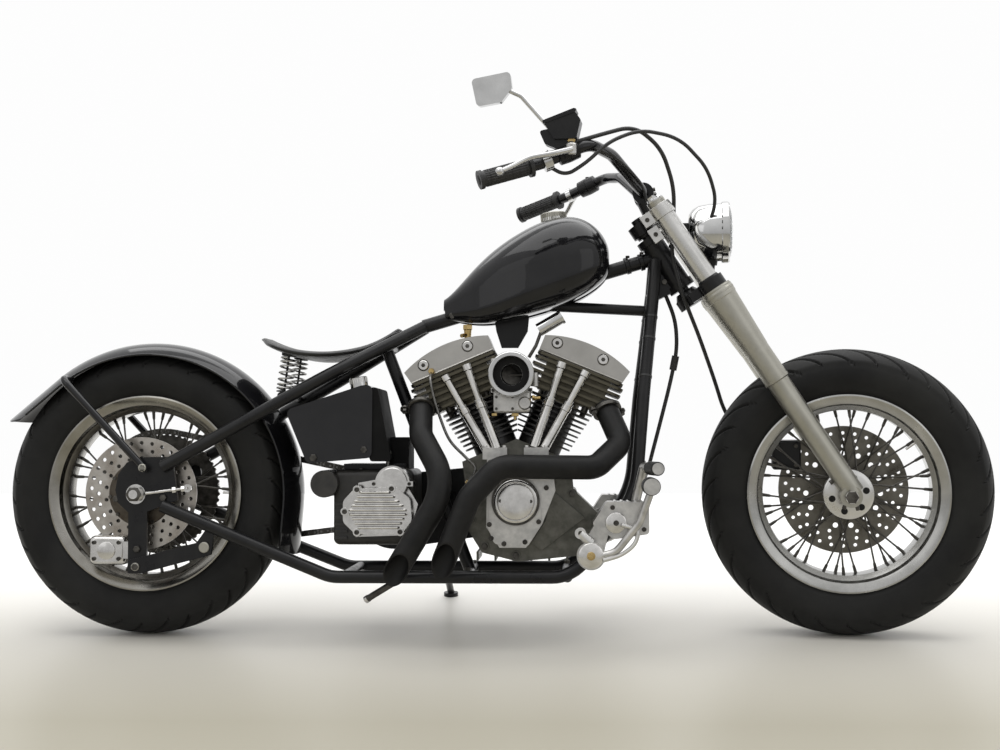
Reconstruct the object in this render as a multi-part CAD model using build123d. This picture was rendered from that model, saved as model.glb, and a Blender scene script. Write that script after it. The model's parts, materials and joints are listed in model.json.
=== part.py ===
"""A rigid-frame chopper motorcycle, leaning on its side stand.

Lengths are in millimetres.  The machine is drawn upright, +X forward, +Y to its left and +Z up, with the rear
axle above X = 0 and the floor at Z = 0.  The steered pieces are drawn straight ahead and turned about the
steering axis, and the whole machine is leaned about the line where its middle plane meets the floor.
"""

from math import atan2, cos, degrees, radians, sin, tan
import os

from build123d import *

# Driving dimensions
WHEELBASE = 1589.0
TYRE_RADIUS = 322.0
TYRE_HALF_WIDTH = 64.0
RIM_FLANGE_RADIUS = 222.0
BEAD_RADIUS = 205.0
RAKE_DEG = 33.5
AXIS_OFFSET = 55.0  # steering axis behind the front axle, measured level at axle height
STEER_DEG = -6.2  # the bars are turned a little to the right
STEER_LOCK_DEG = 32.0  # each way from straight ahead
STEER_RANGE = (-STEER_LOCK_DEG - STEER_DEG, STEER_LOCK_DEG - STEER_DEG)
LEAN_DEG = 7.0  # to the left, onto the side stand
FRONT_AXLE_HEIGHT = 322.8  # with the bars turned, this sets the front tyre on the floor
CROWN_RADIUS = 75.9  # of the tyres' tread, across

FRAME_TUBE = 14.0  # radii
BACKBONE_TUBE = 16.0
FORK_SPREAD = 95.0
FORK_AHEAD = 56.0  # fork legs ahead of the steering axis
FORK_TUBE = 20.5
BAR_TUBE = 12.7
EXHAUST_TUBE = 26.0
CRANK = (848.0, 0.0, 307.0)
BANK_DEG = 22.5  # each cylinder's lean from the vertical
CHAIN_PLANE = 93.0
RIGHT, LEFT = -1, 1

SLOPE = tan(radians(RAKE_DEG))
AXIS_UP = Vector(-sin(radians(RAKE_DEG)), 0, cos(radians(RAKE_DEG)))
AXIS_AHEAD = Vector(cos(radians(RAKE_DEG)), 0, sin(radians(RAKE_DEG)))
AXIS_FOOT = Vector(WHEELBASE - AXIS_OFFSET, 0, TYRE_RADIUS)
FRONT_AXLE = Vector(WHEELBASE, 0, FRONT_AXLE_HEIGHT)
REAR_AXLE = Vector(0, 0, TYRE_RADIUS)

FLOOR = -CROWN_RADIUS * (1 - cos(radians(LEAN_DEG)))  # the leaned tyres reach a little lower

BODIES = {"chassis": {}, "steering": {}, "front_wheel": {}, "rear_wheel": {}, "side_stand": {}}


def on_axis(along, ahead=0.0, side=0.0):
    """A point given along the steering axis from axle height, ahead of it, and to the left."""
    return AXIS_FOOT + AXIS_UP * along + AXIS_AHEAD * ahead + Vector(0, side, 0)


def rod(start, end, radius):
    """A round bar between two points."""
    start, end = Vector(start), Vector(end)
    bar = Cylinder(radius, (end - start).length, align=(Align.CENTER, Align.CENTER, Align.MIN))
    return Plane(origin=start, z_dir=end - start) * bar


def cone(start, end, start_radius, end_radius):
    """A round taper between two points."""
    start, end = Vector(start), Vector(end)
    align = (Align.CENTER, Align.CENTER, Align.MIN)
    return Plane(origin=start, z_dir=end - start) * Cone(start_radius, end_radius, (end - start).length, align=align)


def largest(shape):
    """The biggest solid of a shape that a cut may have left in pieces."""
    return max(shape.solids(), key=lambda solid: solid.volume)


def pipe(start, end, outer, inner):
    """A round bar with a bore."""
    return rod(start, end, outer) - rod(start, end, inner)


def bent(points, radii, radius):
    """A round tube along straight runs joined by tangent arcs."""
    path = FilletPolyline(*[Vector(p) for p in points], radius=radii)
    return sweep(Plane(origin=path @ 0, z_dir=path % 0) * Circle(radius), path)


def turned(outline, centre):
    """A solid of revolution about a level crosswise axle; the outline is (side, radius) pairs."""
    face = make_face(Polyline(*[(0, y, r) for y, r in outline], close=True))
    return Pos(*centre) * revolve(face, Axis.Y, 360)


def plate(outline, side, thickness):
    """A plate whose (x, z) outline is extruded from one side value towards the left."""
    face = make_face(Polyline(*[(x, side, z) for x, z in outline], close=True))
    return extrude(face, amount=thickness, dir=(0, 1, 0))


def block(low, high, round_by=0.0):
    """A box between two corners, with its edges rounded."""
    size = [h - l for l, h in zip(low, high)]
    body = Pos(*[(l + h) / 2 for l, h in zip(low, high)]) * Box(*size)
    return fillet(body.edges(), round_by) if round_by else body


def mirrored(shape):
    return mirror(shape, Plane.XZ)


def both_sides(shape):
    return Compound([shape, mirrored(shape)])


# Wheels


def tyre(centre):
    """The tyre's section is drawn with short straight runs, closest together over the crown."""
    w, r = TYRE_HALF_WIDTH, TYRE_RADIUS
    drop = CROWN_RADIUS * (1 - cos(radians(LEAN_DEG)))
    half = [(50, BEAD_RADIUS), (50, RIM_FLANGE_RADIUS + 0.5), (59, 240), (w, 262), (62, 283), (w * 0.88, 297),
            (40, 311.5), (26, 317.8), (CROWN_RADIUS * sin(radians(LEAN_DEG)), r - drop)]
    outline = [(-y, z) for y, z in half] + [(y, z) for y, z in reversed(half)]
    return turned(outline, centre)


# (side, radius) of the rim's section, left half first
RIM_SECTION = [
    (-50, 222), (-50, 205), (50, 205), (50, 222), (56, 222), (56, 212), (50, 199), (30, 196),
    (22, 185), (-22, 185), (-30, 196), (-50, 199), (-56, 212), (-56, 222),
]


def wire_wheel(centre, hub_outline, bore, flanges, count):
    """A rim, a hub and laced spokes between them; flanges are (side, radius) where spokes leave the hub."""
    hub = turned(hub_outline, (0, 0, 0))
    spokes = []
    for side, radius in flanges:
        for i in range(count // 2):
            lace = 34 if i % 2 else -34
            angle = radians(i * 720 / count + (9 if side > 0 else 0))
            reach = angle + radians(lace)
            foot = (radius * cos(angle), side, radius * sin(angle))
            tip = (188 * cos(reach), side * 0.25, 188 * sin(reach))
            spokes.append(rod(foot, tip, 2.2))
    wheel = turned(RIM_SECTION, (0, 0, 0)) + hub + spokes
    wheel -= rod((0, -200, 0), (0, 200, 0), bore)
    return Pos(*centre) * wheel


def drilled_disc(centre, side, radius, inner, rows):
    """A brake disc; rows are (hole circle radius, hole count, hole radius)."""
    sketch = Circle(radius) - Circle(inner)
    for ring, count, hole in rows:
        sketch -= PolarLocations(ring, count) * Circle(hole)
    face = Plane(origin=(0, side - 2.5, 0), z_dir=(0, 1, 0)) * sketch
    return Pos(*centre) * extrude(face, amount=5, dir=(0, 1, 0))


SPROCKET_PITCH = 141.5
SPROCKET_TEETH = 56
FRONT_SPROCKET = (505.0, 300.0)  # x, z
FRONT_PITCH = 58.0


def sprocket():
    tooth = SPROCKET_PITCH - 5.5
    sketch = Circle(tooth)
    sketch -= PolarLocations(tooth + 1.5, SPROCKET_TEETH) * Circle(5.2)
    sketch -= PolarLocations(88, 6) * Circle(17)
    sketch -= Circle(30)
    face = Plane(origin=(0, CHAIN_PLANE - 3.2, 0), z_dir=(0, 1, 0)) * sketch
    return Pos(*REAR_AXLE) * extrude(face, amount=6.4, dir=(0, 1, 0))


def chain_band(spread, side, thickness):
    """One row of the chain, as a closed band round both sprockets."""
    span = Vector(FRONT_SPROCKET[0], FRONT_SPROCKET[1] - TYRE_RADIUS, 0)
    tilt = degrees(atan2(span.Y, span.X))
    lean = degrees(atan2(SPROCKET_PITCH - FRONT_PITCH, span.length))

    def loop(extra):
        big, small = SPROCKET_PITCH + extra, FRONT_PITCH + extra
        ends = []
        for sign in (1, -1):
            a = radians(tilt + sign * (90 - lean))
            ends.append(((big * cos(a), big * sin(a)), (span.X + small * cos(a), span.Y + small * sin(a))))
        body = make_face(Polyline(ends[0][0], ends[0][1], ends[1][1], ends[1][0], close=True))
        return body + Circle(big) + Pos(span.X, span.Y) * Circle(small)

    ring = loop(spread) - loop(-spread)
    # the sketch's second axis is the machine's Z
    face = Plane(origin=(0, side, TYRE_RADIUS), x_dir=(1, 0, 0), z_dir=(0, -1, 0)) * ring
    return extrude(face, amount=thickness, dir=(0, 1, 0))


def rear_wheel():
    parts = BODIES["rear_wheel"]
    parts["rear_tyre"] = tyre(REAR_AXLE)
    hub = [(-70, 0), (-70, 32), (-56, 32), (-52, 47), (-44, 47), (-38, 30), (38, 30), (44, 52), (52, 52),
           (56, 32), (84, 32), (84, 0)]
    parts["rear_rim"] = wire_wheel(REAR_AXLE, hub, 10.1, [(-48, 44), (48, 44)], 40)
    holes = [(62, 12, 5), (80, 18, 4.5), (97, 24, 4.5), (114, 30, 4.5)]
    parts["rear_disc"] = drilled_disc(REAR_AXLE, -78, 127, 32.5, holes)
    parts["rear_disc"] += Pos(*REAR_AXLE) * pipe((0, -75.5, 0), (0, -70.1, 0), 38, 32.5)
    parts["rear_sprocket"] = sprocket()
    parts["rear_sprocket"] += Pos(*REAR_AXLE) * pipe((0, 84.2, 0), (0, CHAIN_PLANE - 3.2, 0), 40, 30)


def front_wheel():
    parts = BODIES["front_wheel"]
    parts["front_tyre"] = tyre(FRONT_AXLE)
    hub = [(-66, 0), (-66, 30), (-62, 55), (-52, 55), (-46, 40), (-38, 38), (-32, 26), (32, 26), (38, 42),
           (46, 42), (48, 30), (54, 30), (54, 0)]
    parts["front_rim"] = wire_wheel(FRONT_AXLE, hub, 10.1, [(-42, 38), (42, 38)], 40)
    holes = [(84, 15, 6), (100, 20, 4), (115, 24, 4), (130, 30, 4)]
    parts["front_disc"] = drilled_disc(FRONT_AXLE, 57, 146, 30.5, holes)


# Frame

BACKBONE_FRONT = Vector(1165, 0, 857)
BACKBONE_REAR = Vector(632, 0, 702)
DOWN_TUBE = [(1166, 18, 848), (1130, 108, 540), (1110, 130, 320), (970, 130, 141), (440, 130, 141),
             (300, 124, 197), (60, 121, 296)]
UPPER_STAY = [(634, 17, 700), (420, 112, 582), (60, 121, 382)]
PLATE_OUTLINE = [(81, 405), (8, 404), (-22, 392), (-41, 366), (-47, 331), (-40, 302), (-17, 281), (-17, 150),
                 (25, 150), (25, 283), (94, 309)]
PLATE_SIDE = 107.0
PLATE_THICK = 10.0


def backbone_height(x):
    slope = (BACKBONE_FRONT.Z - BACKBONE_REAR.Z) / (BACKBONE_FRONT.X - BACKBONE_REAR.X)
    return BACKBONE_REAR.Z + slope * (x - BACKBONE_REAR.X)


def frame():
    parts = BODIES["chassis"]
    neck = rod(on_axis(556), on_axis(696), 27)
    neck += rod(on_axis(556), on_axis(572), 31) + rod(on_axis(680), on_axis(696), 31)
    gusset = plate([(1150, 862), (1178, 862), (1224, 792), (1206, 777), (1164, 757), (1142, 772)], -14, 28)
    neck += gusset
    bearing_bore = rod(on_axis(500), on_axis(800), 12.75)

    backbone = rod(BACKBONE_FRONT, BACKBONE_REAR, BACKBONE_TUBE)
    backbone += rod((1149, 0, 735), (850, 0, 752), 12)
    backbone += rod((546, 0, 651), (740, 0, 141), FRAME_TUBE) + rod((560, -46, 656), (560, 46, 656), 10)
    backbone += plate([(790, 748), (880, 770), (872, 690), (850, 652), (812, 652), (800, 690)], -4, 8)
    backbone += neck

    side = bent(DOWN_TUBE, [200, 190, 90, 90, 110], FRAME_TUBE)
    side -= plate(PLATE_OUTLINE, PLATE_SIDE, PLATE_THICK)
    side -= backbone
    parts["frame_cradle_right"] = mirrored(side)
    parts["frame_cradle_left"] = side + block((665, 130, 104), (715, 148, 150), 4)

    stay = bent(UPPER_STAY, [260], FRAME_TUBE) + plate(PLATE_OUTLINE, PLATE_SIDE, PLATE_THICK)
    stay -= backbone + rod((0, 0, 322), (0, 200, 322), 10.05)
    parts["frame_rear_stays"] = both_sides(stay)

    cross = rod((1152, -52, 735), (1152, 52, 735), 12)
    cross += [rod((x, -120, 141), (x, 120, 141), 12) for x in (740, 470, 960)]
    cross += rod((322, -106, 541), (322, 106, 541), 8)
    cross -= side + mirrored(side) + stay + mirrored(stay)
    parts["frame_backbone"] = backbone + cross - bearing_bore

    axle = rod((0, -140, 322), (0, 140, 322), 10)
    for sign in (RIGHT, LEFT):
        axle += rod((0, sign * 117, 322), (0, sign * 120, 322), 22)
        axle += rod((0, sign * 120, 322), (0, sign * 134, 322), 15)
    parts["rear_axle"] = axle


# Tank, seat, fender

# x, half width, bottom, top
TANK_SECTIONS = [
    (680, 20, 715, 764),
    (745, 60, 707, 828),
    (835, 98, 714, 903),
    (915, 116, 735, 942),
    (985, 114, 761, 948),
    (1035, 92, 792, 918),
    (1058, 52, 822, 872),
]


def tank_section(x, half, low, high):
    height = high - low
    face = make_face(Polyline((-half, low), (half, low), (half, high), (-half, high), close=True))
    corners = face.vertices().sort_by(Axis.Y)
    face = fillet(corners[-2:], min(0.86 * half, 0.56 * height))
    face = fillet(face.vertices().sort_by(Axis.Y)[:2], min(0.5 * half, 0.36 * height))
    return Plane(origin=(x, 0, 0), x_dir=(0, 1, 0), z_dir=(1, 0, 0)) * face


def tank():
    parts = BODIES["chassis"]
    shell = loft([tank_section(*row) for row in TANK_SECTIONS])
    ends = (650, 1110)
    tunnel = [(ends[0], 600), (ends[1], 600), *[(x, backbone_height(x) + 21) for x in reversed(ends)]]
    shell -= plate(tunnel, -22, 44)
    cap_foot, cap_up = Vector(936, 0, 918), Vector(-0.1, 0, 1).normalized()
    shell -= rod(cap_foot, cap_foot + cap_up * 40, 24) + rod(cap_foot + cap_up * 25.8, cap_foot + cap_up * 60, 29.2)
    parts["fuel_tank"] = shell
    cap = rod(cap_foot, cap_foot + cap_up * 26, 23.7) + rod(cap_foot + cap_up * 26, cap_foot + cap_up * 34, 29)
    parts["tank_caps"] = cap


SEAT_LINE = [(266, 672), (410, 633), (574, 690)]  # x, z of the seat's middle


def seat():
    parts = BODIES["chassis"]
    band = []
    for drop in (9, -9):
        band.append([(x, 0, z + drop) for x, z in SEAT_LINE])
    edges = [ThreePointArc(*band[0]), ThreePointArc(*band[1]), Line(band[0][0], band[1][0]),
             Line(band[0][2], band[1][2])]
    strip = extrude(make_face(edges), amount=140, dir=(0, 1, 0), both=True)
    plan = make_face([
        ThreePointArc((335, -128), (262, 0), (335, 128)),
        ThreePointArc((335, 128), (440, 105), (500, 52)),
        Line((500, 52), (575, 24)),
        ThreePointArc((575, 24), (584, 0), (575, -24)),
        Line((575, -24), (500, -52)),
        ThreePointArc((500, -52), (440, -105), (335, -128)),
    ])
    parts["seat"] = strip & extrude(Plane(origin=(0, 0, 560)) * plan, amount=200)
    hinge = block((580, -14, 679), (600, 14, 691), 3)
    hinge += rod((594, -30, 684), (594, 30, 684), 7)
    hinge -= parts["seat"] + parts["frame_rear_stays"]
    coil = []
    for sign in (RIGHT, LEFT):
        foot, top = Vector(322, sign * 70, 549), Vector(334, sign * 70, 640)
        spring = rod(foot, top, 11)
        for i in range(6):
            at = foot + (top - foot) * (0.12 + 0.14 * i)
            spring += rod(at, at + (top - foot).normalized() * 6, 17.5)
        coil.append(spring)
    springs = [spring - parts["seat"] - parts["frame_backbone"] for spring in coil]
    parts["seat_mounts"] = Compound([*springs, hinge])


FENDER_CENTRE = Vector(8, 0, 320)
FENDER_RADIUS = 347.0
FENDER_HALF = 78.0
FENDER_LIP = 31.0
FENDER_FROM_DEG, FENDER_TO_DEG = -5.0, 130.0
FENDER_TAIL, FENDER_FRONT = 152.0, 108.0


def fender():
    parts = BODIES["chassis"]
    r, half, lip = FENDER_RADIUS, FENDER_HALF, FENDER_LIP
    section = make_face([
        ThreePointArc((0, -half, r - lip), (0, 0, r), (0, half, r - lip)),
        ThreePointArc((0, -half + 3.4, r - lip), (0, 0, r - 3), (0, half - 3.4, r - lip)),
        Line((0, -half, r - lip), (0, -half + 3.4, r - lip)),
        Line((0, half, r - lip), (0, half - 3.4, r - lip)),
    ])
    section = Pos(*FENDER_CENTRE) * section
    axis = Axis(FENDER_CENTRE, (0, 1, 0))
    start = section.rotate(axis, 90 - FENDER_FROM_DEG)
    end = section.rotate(axis, 90 - FENDER_TO_DEG)
    shell = revolve(start, axis, FENDER_FROM_DEG - FENDER_TO_DEG)
    a, b = radians(FENDER_FROM_DEG), radians(FENDER_TO_DEG)
    shell += extrude(start, amount=FENDER_FRONT, dir=(sin(a), 0, -cos(a)))
    shell += extrude(end, amount=FENDER_TAIL, dir=(-sin(b), 0, cos(b)))
    tail = FENDER_CENTRE.X + r * cos(b) - FENDER_TAIL * sin(b)
    keep = Circle(half + 6) + Pos(400) * Rectangle(800, 2 * half + 12)
    shell &= Pos(tail + half + 8, 0, 150) * extrude(keep, amount=700)
    struts = []
    for sign in (RIGHT, LEFT):
        foot, top = Vector(20, sign * 126, 380), Vector(-168, sign * 126, 580)
        inward = Vector(-168, sign * 66, 580)
        strut = bent([foot, top, inward], [18], 8.5) + rod((20, sign * 117.2, 380), (20, sign * 136, 380), 10)
        struts.append(strut)
    parts["rear_fender"] = shell + struts


# Oil tank, gearbox, engine


def oil_tank():
    parts = BODIES["chassis"]
    body = plate([(336, 508), (505, 562), (531, 566), (529, 402), (385, 390)], -125, 200)
    body = fillet(body.edges().filter_by(Axis.Y), 14)
    body -= rod((322, -118, 541), (322, 118, 541), 12)
    parts["oil_tank"] = body
    oil_cap = rod((500, -92, 545), (494, -92, 580), 20) - body
    parts["tank_caps"] = Compound([parts["tank_caps"], oil_cap])


def bank_plane(sign):
    """The local frame of a cylinder: x away from the vee, z along the bore."""
    t = radians(BANK_DEG)
    return Plane(origin=CRANK, x_dir=(sign * cos(t), 0, -sin(t)), z_dir=(sign * sin(t), 0, cos(t)))


FIN_COUNT = 9
HEAD_FINS = 5


def engine():
    parts = BODIES["chassis"]
    case = plate([(735, 330), (733, 250), (770, 190), (850, 170), (1010, 186), (1045, 262), (975, 330),
                  (970, 392.8), (848, 443.3), (726, 392.8)], -72, 144)
    cam = plate([(785, 404), (925, 404), (935, 330), (905, 255), (870, 205), (812, 205), (783, 250)], -128, 55.8)
    cam += rod((848, -142, 307), (848, -127, 307), 46)
    cylinders, heads, rockers = [], [], []
    for sign in (1, -1):
        plane = bank_plane(sign)
        barrel = Cylinder(50, 126, align=(Align.CENTER, Align.CENTER, Align.MIN))
        barrel = Pos(0, 0, 126) * barrel
        for i in range(FIN_COUNT):
            along, radius = 146 + 11.5 * i, 68 + 20 * i / FIN_COUNT
            barrel += Pos(0, 0, along) * Cylinder(radius, 4)
        head = Pos(20, 0, 290) * Box(150, 104, 80)
        for i in range(HEAD_FINS):
            fin = RectangleRounded(212, 146, 18)
            head += extrude(Pos(21, 0, 253 + 15 * i) * fin, amount=6)
        head += Pos(20, 0, 324) * extrude(RectangleRounded(206, 128, 14), amount=6)
        inside = Pos(CRANK[0] - sign * 98.5, 0, 500) * Box(200, 300, 500)
        cylinders.append(plane * (barrel + head) - inside)
        outline = make_face([
            Line((-82, 0, 330.2), (119, 0, 330.2)), Line((119, 0, 330.2), (126, 0, 362)),
            ThreePointArc((126, 0, 362), (25, 0, 386), (-82, 0, 367)), Line((-82, 0, 367), (-82, 0, 330.2)),
        ])
        rockers.append(plane * extrude(outline, amount=56, dir=(0, 1, 0), both=True))
    jugs = Compound([jug - case for jug in cylinders])
    parts["crankcase"] = case
    parts["cam_cover"] = cam
    parts["cylinders"] = jugs
    parts["rocker_boxes"] = Compound(rockers)

    rods = []
    for top, foot in (((684, 579), (807, 408)), ((740, 603), (832, 411)),
                      ((950, 606), (878, 411)), ((1008, 591), (905, 408))):
        rods.append(rod((foot[0], -108, foot[1]), (top[0], -90, top[1]), 9))
        middle = Vector((foot[0] + top[0]) / 2, -99, (foot[1] + top[1]) / 2)
        rods[-1] += rod((foot[0], -108, foot[1]), middle, 11)
    tubes = Compound(rods)
    parts["pushrod_tubes"] = tubes - cam - jugs - parts["rocker_boxes"]

    carb = rod((839, -118, 585), (839, -76, 585), 34) + block((797, -112, 500), (881, -76, 552), 8)
    carb += rod((839, -95, 540), (839, -95, 570), 17) + rod((848, -80, 585), (848, 19, 585), 19)
    carb += rod((800, 0, 585), (896, 0, 585), 15)
    carb += rod((839, -150, 585), (839, -116, 585), 43.5) + rod((839, -150, 585), (839, -141, 585), 50)
    carb -= rod((839, -151, 585), (839, -122, 585), 39.5) + rod((839, -123, 585), (839, -84, 585), 24)
    parts["carburettor"] = largest(carb - jugs - tubes)


PRIMARY_SIDE = (106.0, 172.0)


def gearbox():
    parts = BODIES["chassis"]
    body = block((441, -108, 209), (621, 76, 376), 14)
    body += rod((426, -140, 345), (426, -20, 345), 30) + block((426, -100, 320), (470, -30, 368))
    cover = plate([(475, 284), (501, 328), (574, 334), (608, 300), (620, 284), (597, 243), (501, 243)], -150, 41.9)
    cover += plate([(484, 292), (500, 347), (540, 354), (604, 346), (632, 300), (612, 232), (494, 228)], -122, 13.9)
    cover += rod((578, -146, 347), (578, -108.1, 347), 38) & plate([(530, 347), (630, 347), (630, 400), (530, 400)],
                                                                   -160, 60)
    cover += plate([(532, 340), (624, 340), (624, 351), (532, 351)], -152, 43.9)
    parts["gearbox_cover"] = cover
    near, far = PRIMARY_SIDE
    primary = make_face([
        ThreePointArc((848, near, 387), (928, near, 307), (848, near, 227)),
        Line((848, near, 227), (551, near, 184)),
        ThreePointArc((551, near, 184), (463, near, 272), (551, near, 360)),
        Line((551, near, 360), (848, near, 387)),
    ])
    cover = extrude(primary, amount=far - near, dir=(0, 1, 0))
    cover = fillet(cover.edges().filter_by_position(Axis.Y, far - 1, far + 1), 16)
    cover += plate([(772, 350), (772, 262), (914, 262), (914, 350)], 72, near - 72)
    parts["primary_cover"] = cover
    x, z = FRONT_SPROCKET
    drive = Circle(FRONT_PITCH - 5.5) - PolarLocations(FRONT_PITCH - 4, 23) * Circle(5.2)
    face = Plane(origin=(x, CHAIN_PLANE - 3.2, z), z_dir=(0, 1, 0)) * drive
    parts["gearbox"] = body + rod((x, 70, z), (x, near, z), 20) + extrude(face, amount=6.4, dir=(0, 1, 0))


def exhausts():
    parts = BODIES["chassis"]
    front = bent([(1046, -70, 516), (1080, -124, 434), (1022, -180, 381), (815, -212, 384), (752, -226, 318),
                  (672, -235, 118)], [42, 42, 60, 70], EXHAUST_TUBE)
    rear = bent([(634, -72, 520), (640, -140, 452), (705, -215, 345), (556, -235, 96)], [60, 110],
                EXHAUST_TUBE)
    bores = {"exhaust_front": (Vector(752, -226, 318), Vector(672, -235, 118)),
             "exhaust_rear": (Vector(705, -215, 345), Vector(556, -235, 96))}
    for name, shape, x, z in (("exhaust_front", front, 700, 181), ("exhaust_rear", rear, 595, 170)):
        cut = Plane(origin=(x, -231, z), x_dir=(1, 0, 0), z_dir=Vector(-0.26, -0.87, -0.43)) * \
            Box(300, 300, 200, align=(Align.CENTER, Align.CENTER, Align.MIN))
        inner, mouth = bores[name]
        shape -= rod(inner + (mouth - inner) * 0.3, mouth, EXHAUST_TUBE - 2.5)
        parts[name] = largest(shape - cut - parts["cylinders"])


# Steering, fork and bars


def fork():
    parts = BODIES["steering"]
    stem = rod(on_axis(512), on_axis(748), 12.7)
    lower = rod(on_axis(512), on_axis(536), 32) + cone(on_axis(536), on_axis(549), 30, 22)
    upper = rod(on_axis(708), on_axis(736), 29) + rod(on_axis(702), on_axis(709), 22)
    for sign in (RIGHT, LEFT):
        lower += rod(on_axis(512, FORK_AHEAD, sign * FORK_SPREAD), on_axis(536, FORK_AHEAD, sign * FORK_SPREAD), 31)
        upper += rod(on_axis(708, FORK_AHEAD, sign * FORK_SPREAD), on_axis(736, FORK_AHEAD, sign * FORK_SPREAD), 27)
    frame_at = Plane(origin=on_axis(524, FORK_AHEAD * 0.55), x_dir=AXIS_AHEAD, z_dir=AXIS_UP)
    lower += frame_at * Box(60, 190, 22)
    upper += Plane(origin=on_axis(722, FORK_AHEAD * 0.55), x_dir=AXIS_AHEAD, z_dir=AXIS_UP) * Box(50, 190, 24)
    clamps = lower + upper + stem + rod(on_axis(534, 54), (1290, 0, 852), 12)
    for sign in (RIGHT, LEFT):
        clamps -= rod(on_axis(480, FORK_AHEAD, sign * FORK_SPREAD), on_axis(800, FORK_AHEAD, sign * FORK_SPREAD),
                      FORK_TUBE + 0.02)
    bar_hole = bent(bar_line(), BAR_RADII, BAR_TUBE)
    for sign in (RIGHT, LEFT):
        clamps += rod(on_axis(735, 34, sign * 42), (1140, sign * 42, 988), 17)
        clamps += rod((1140, sign * 26, 1000), (1140, sign * 58, 1000), 24)
    clamps -= bar_hole + rod((1245, 0, 913), (1341, 0, 913), 66)
    parts["fork_clamps"] = clamps
    parts["handlebar"] = bar_hole
    for name, sign in (("fork_right", RIGHT), ("fork_left", LEFT)):
        side = sign * FORK_SPREAD
        leg = rod(on_axis(0, FORK_AHEAD, side), on_axis(748, FORK_AHEAD, side), FORK_TUBE)
        leg += cone(on_axis(350, FORK_AHEAD, side), on_axis(508, FORK_AHEAD, side), 29, 37.5)
        leg += rod(on_axis(270, FORK_AHEAD, side), on_axis(351, FORK_AHEAD, side), 28.4)
        leg += cone(on_axis(-28, FORK_AHEAD, side), on_axis(271, FORK_AHEAD, side), 24, 25.6)
        leg += rod((WHEELBASE, side - 22, FRONT_AXLE_HEIGHT), (WHEELBASE, side + 22, FRONT_AXLE_HEIGHT), 24)
        leg -= rod((WHEELBASE, side - 40, FRONT_AXLE_HEIGHT), (WHEELBASE, side + 40, FRONT_AXLE_HEIGHT), 10.05)
        parts[name] = leg
    axle = rod((WHEELBASE, -124, FRONT_AXLE_HEIGHT), (WHEELBASE, 124, FRONT_AXLE_HEIGHT), 10)
    for sign in (RIGHT, LEFT):
        axle += rod((WHEELBASE, sign * 120.2, FRONT_AXLE_HEIGHT), (WHEELBASE, sign * 130, FRONT_AXLE_HEIGHT), 14)
    parts["front_axle"] = axle
    caliper = block((1428, 40, 368), (1494, 86, 436), 8)
    caliper -= rod((WHEELBASE, 50, FRONT_AXLE_HEIGHT), (WHEELBASE, 64, FRONT_AXLE_HEIGHT), 151)
    parts["front_caliper"] = caliper + rod((1480, 78, 415), (1516, 84, 425), 7) - parts["fork_left"]


BAR_POINTS = [(1140, 72, 1000), (1078, 190, 1068), (1036, 278, 1080), (935, 302, 1038), (816, 350, 1001)]
BAR_RADII = [55, 45, 90, 60, 60, 90, 45, 55]


def bar_line():
    return [(x, -y, z) for x, y, z in reversed(BAR_POINTS)] + BAR_POINTS


def bar_point(share):
    """A point of the left bar, on its run between the last bend and the grip's bend."""
    start, end = Vector(BAR_POINTS[2]), Vector(BAR_POINTS[3])
    return start + (end - start) * share


def bars():
    parts = BODIES["steering"]
    grips = []
    inner, outer = Vector(BAR_POINTS[3]), Vector(BAR_POINTS[4])
    run = (outer - inner).normalized()
    for sign in (RIGHT, LEFT):
        def at(along):
            p = outer + run * along
            return Vector(p.X, sign * p.Y, p.Z)
        grip = rod(at(-105), at(6), 17) + rod(at(-113), at(-105), 23) + rod(at(-2), at(6), 20)
        grips.append(grip - parts["handlebar"])
    parts["grips"] = Compound(grips)

    clamp = rod(bar_point(0.30), bar_point(0.62), 21)
    lever = bent([(992, 316, 1056), (940, 350, 1038), (848, 388, 1004)], [60], 6)
    lever += Pos(848, 388, 1004) * Sphere(10) + block((972, 296, 1040), (1012, 326, 1072), 5)
    clutch = clamp + lever
    reservoir = plate([(943, 1120), (1009, 1142), (1020, 1126), (1011, 1087), (964, 1087)], 262, 52)
    reservoir += plate([(932, 1106), (966, 1112), (1003, 1092), (992, 1058), (944, 1078)], 272, 34)
    throttle = rod(bar_point(0.80), bar_point(0.98), 22)
    controls = [mirrored(clutch + reservoir + throttle), clutch]
    parts["hand_controls"] = Compound([c - parts["handlebar"] - parts["grips"] for c in controls])
    head = fillet(plate([(789, 1218), (872, 1232), (876, 1197), (853, 1168), (801, 1160)], -309, 18)
                  .edges().filter_by(Axis.Y), 9)
    parts["mirror"] = head + bent([(862, -300, 1196), (893, -294, 1182), (950, -290, 1116)], [22], 5)
    parts["mirror"] -= parts["hand_controls"]
    lamp = cone((1240, 0, 913), (1264, 0, 913), 42, 62) + rod((1263, 0, 913), (1319, 0, 913), 66)
    lamp += rod((1317, 0, 913), (1331, 0, 913), 70) + cone((1330, 0, 913), (1341, 0, 913), 65, 46)
    parts["headlamp"] = lamp - parts["fork_clamps"]


# Controls, brakes, stand


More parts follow.
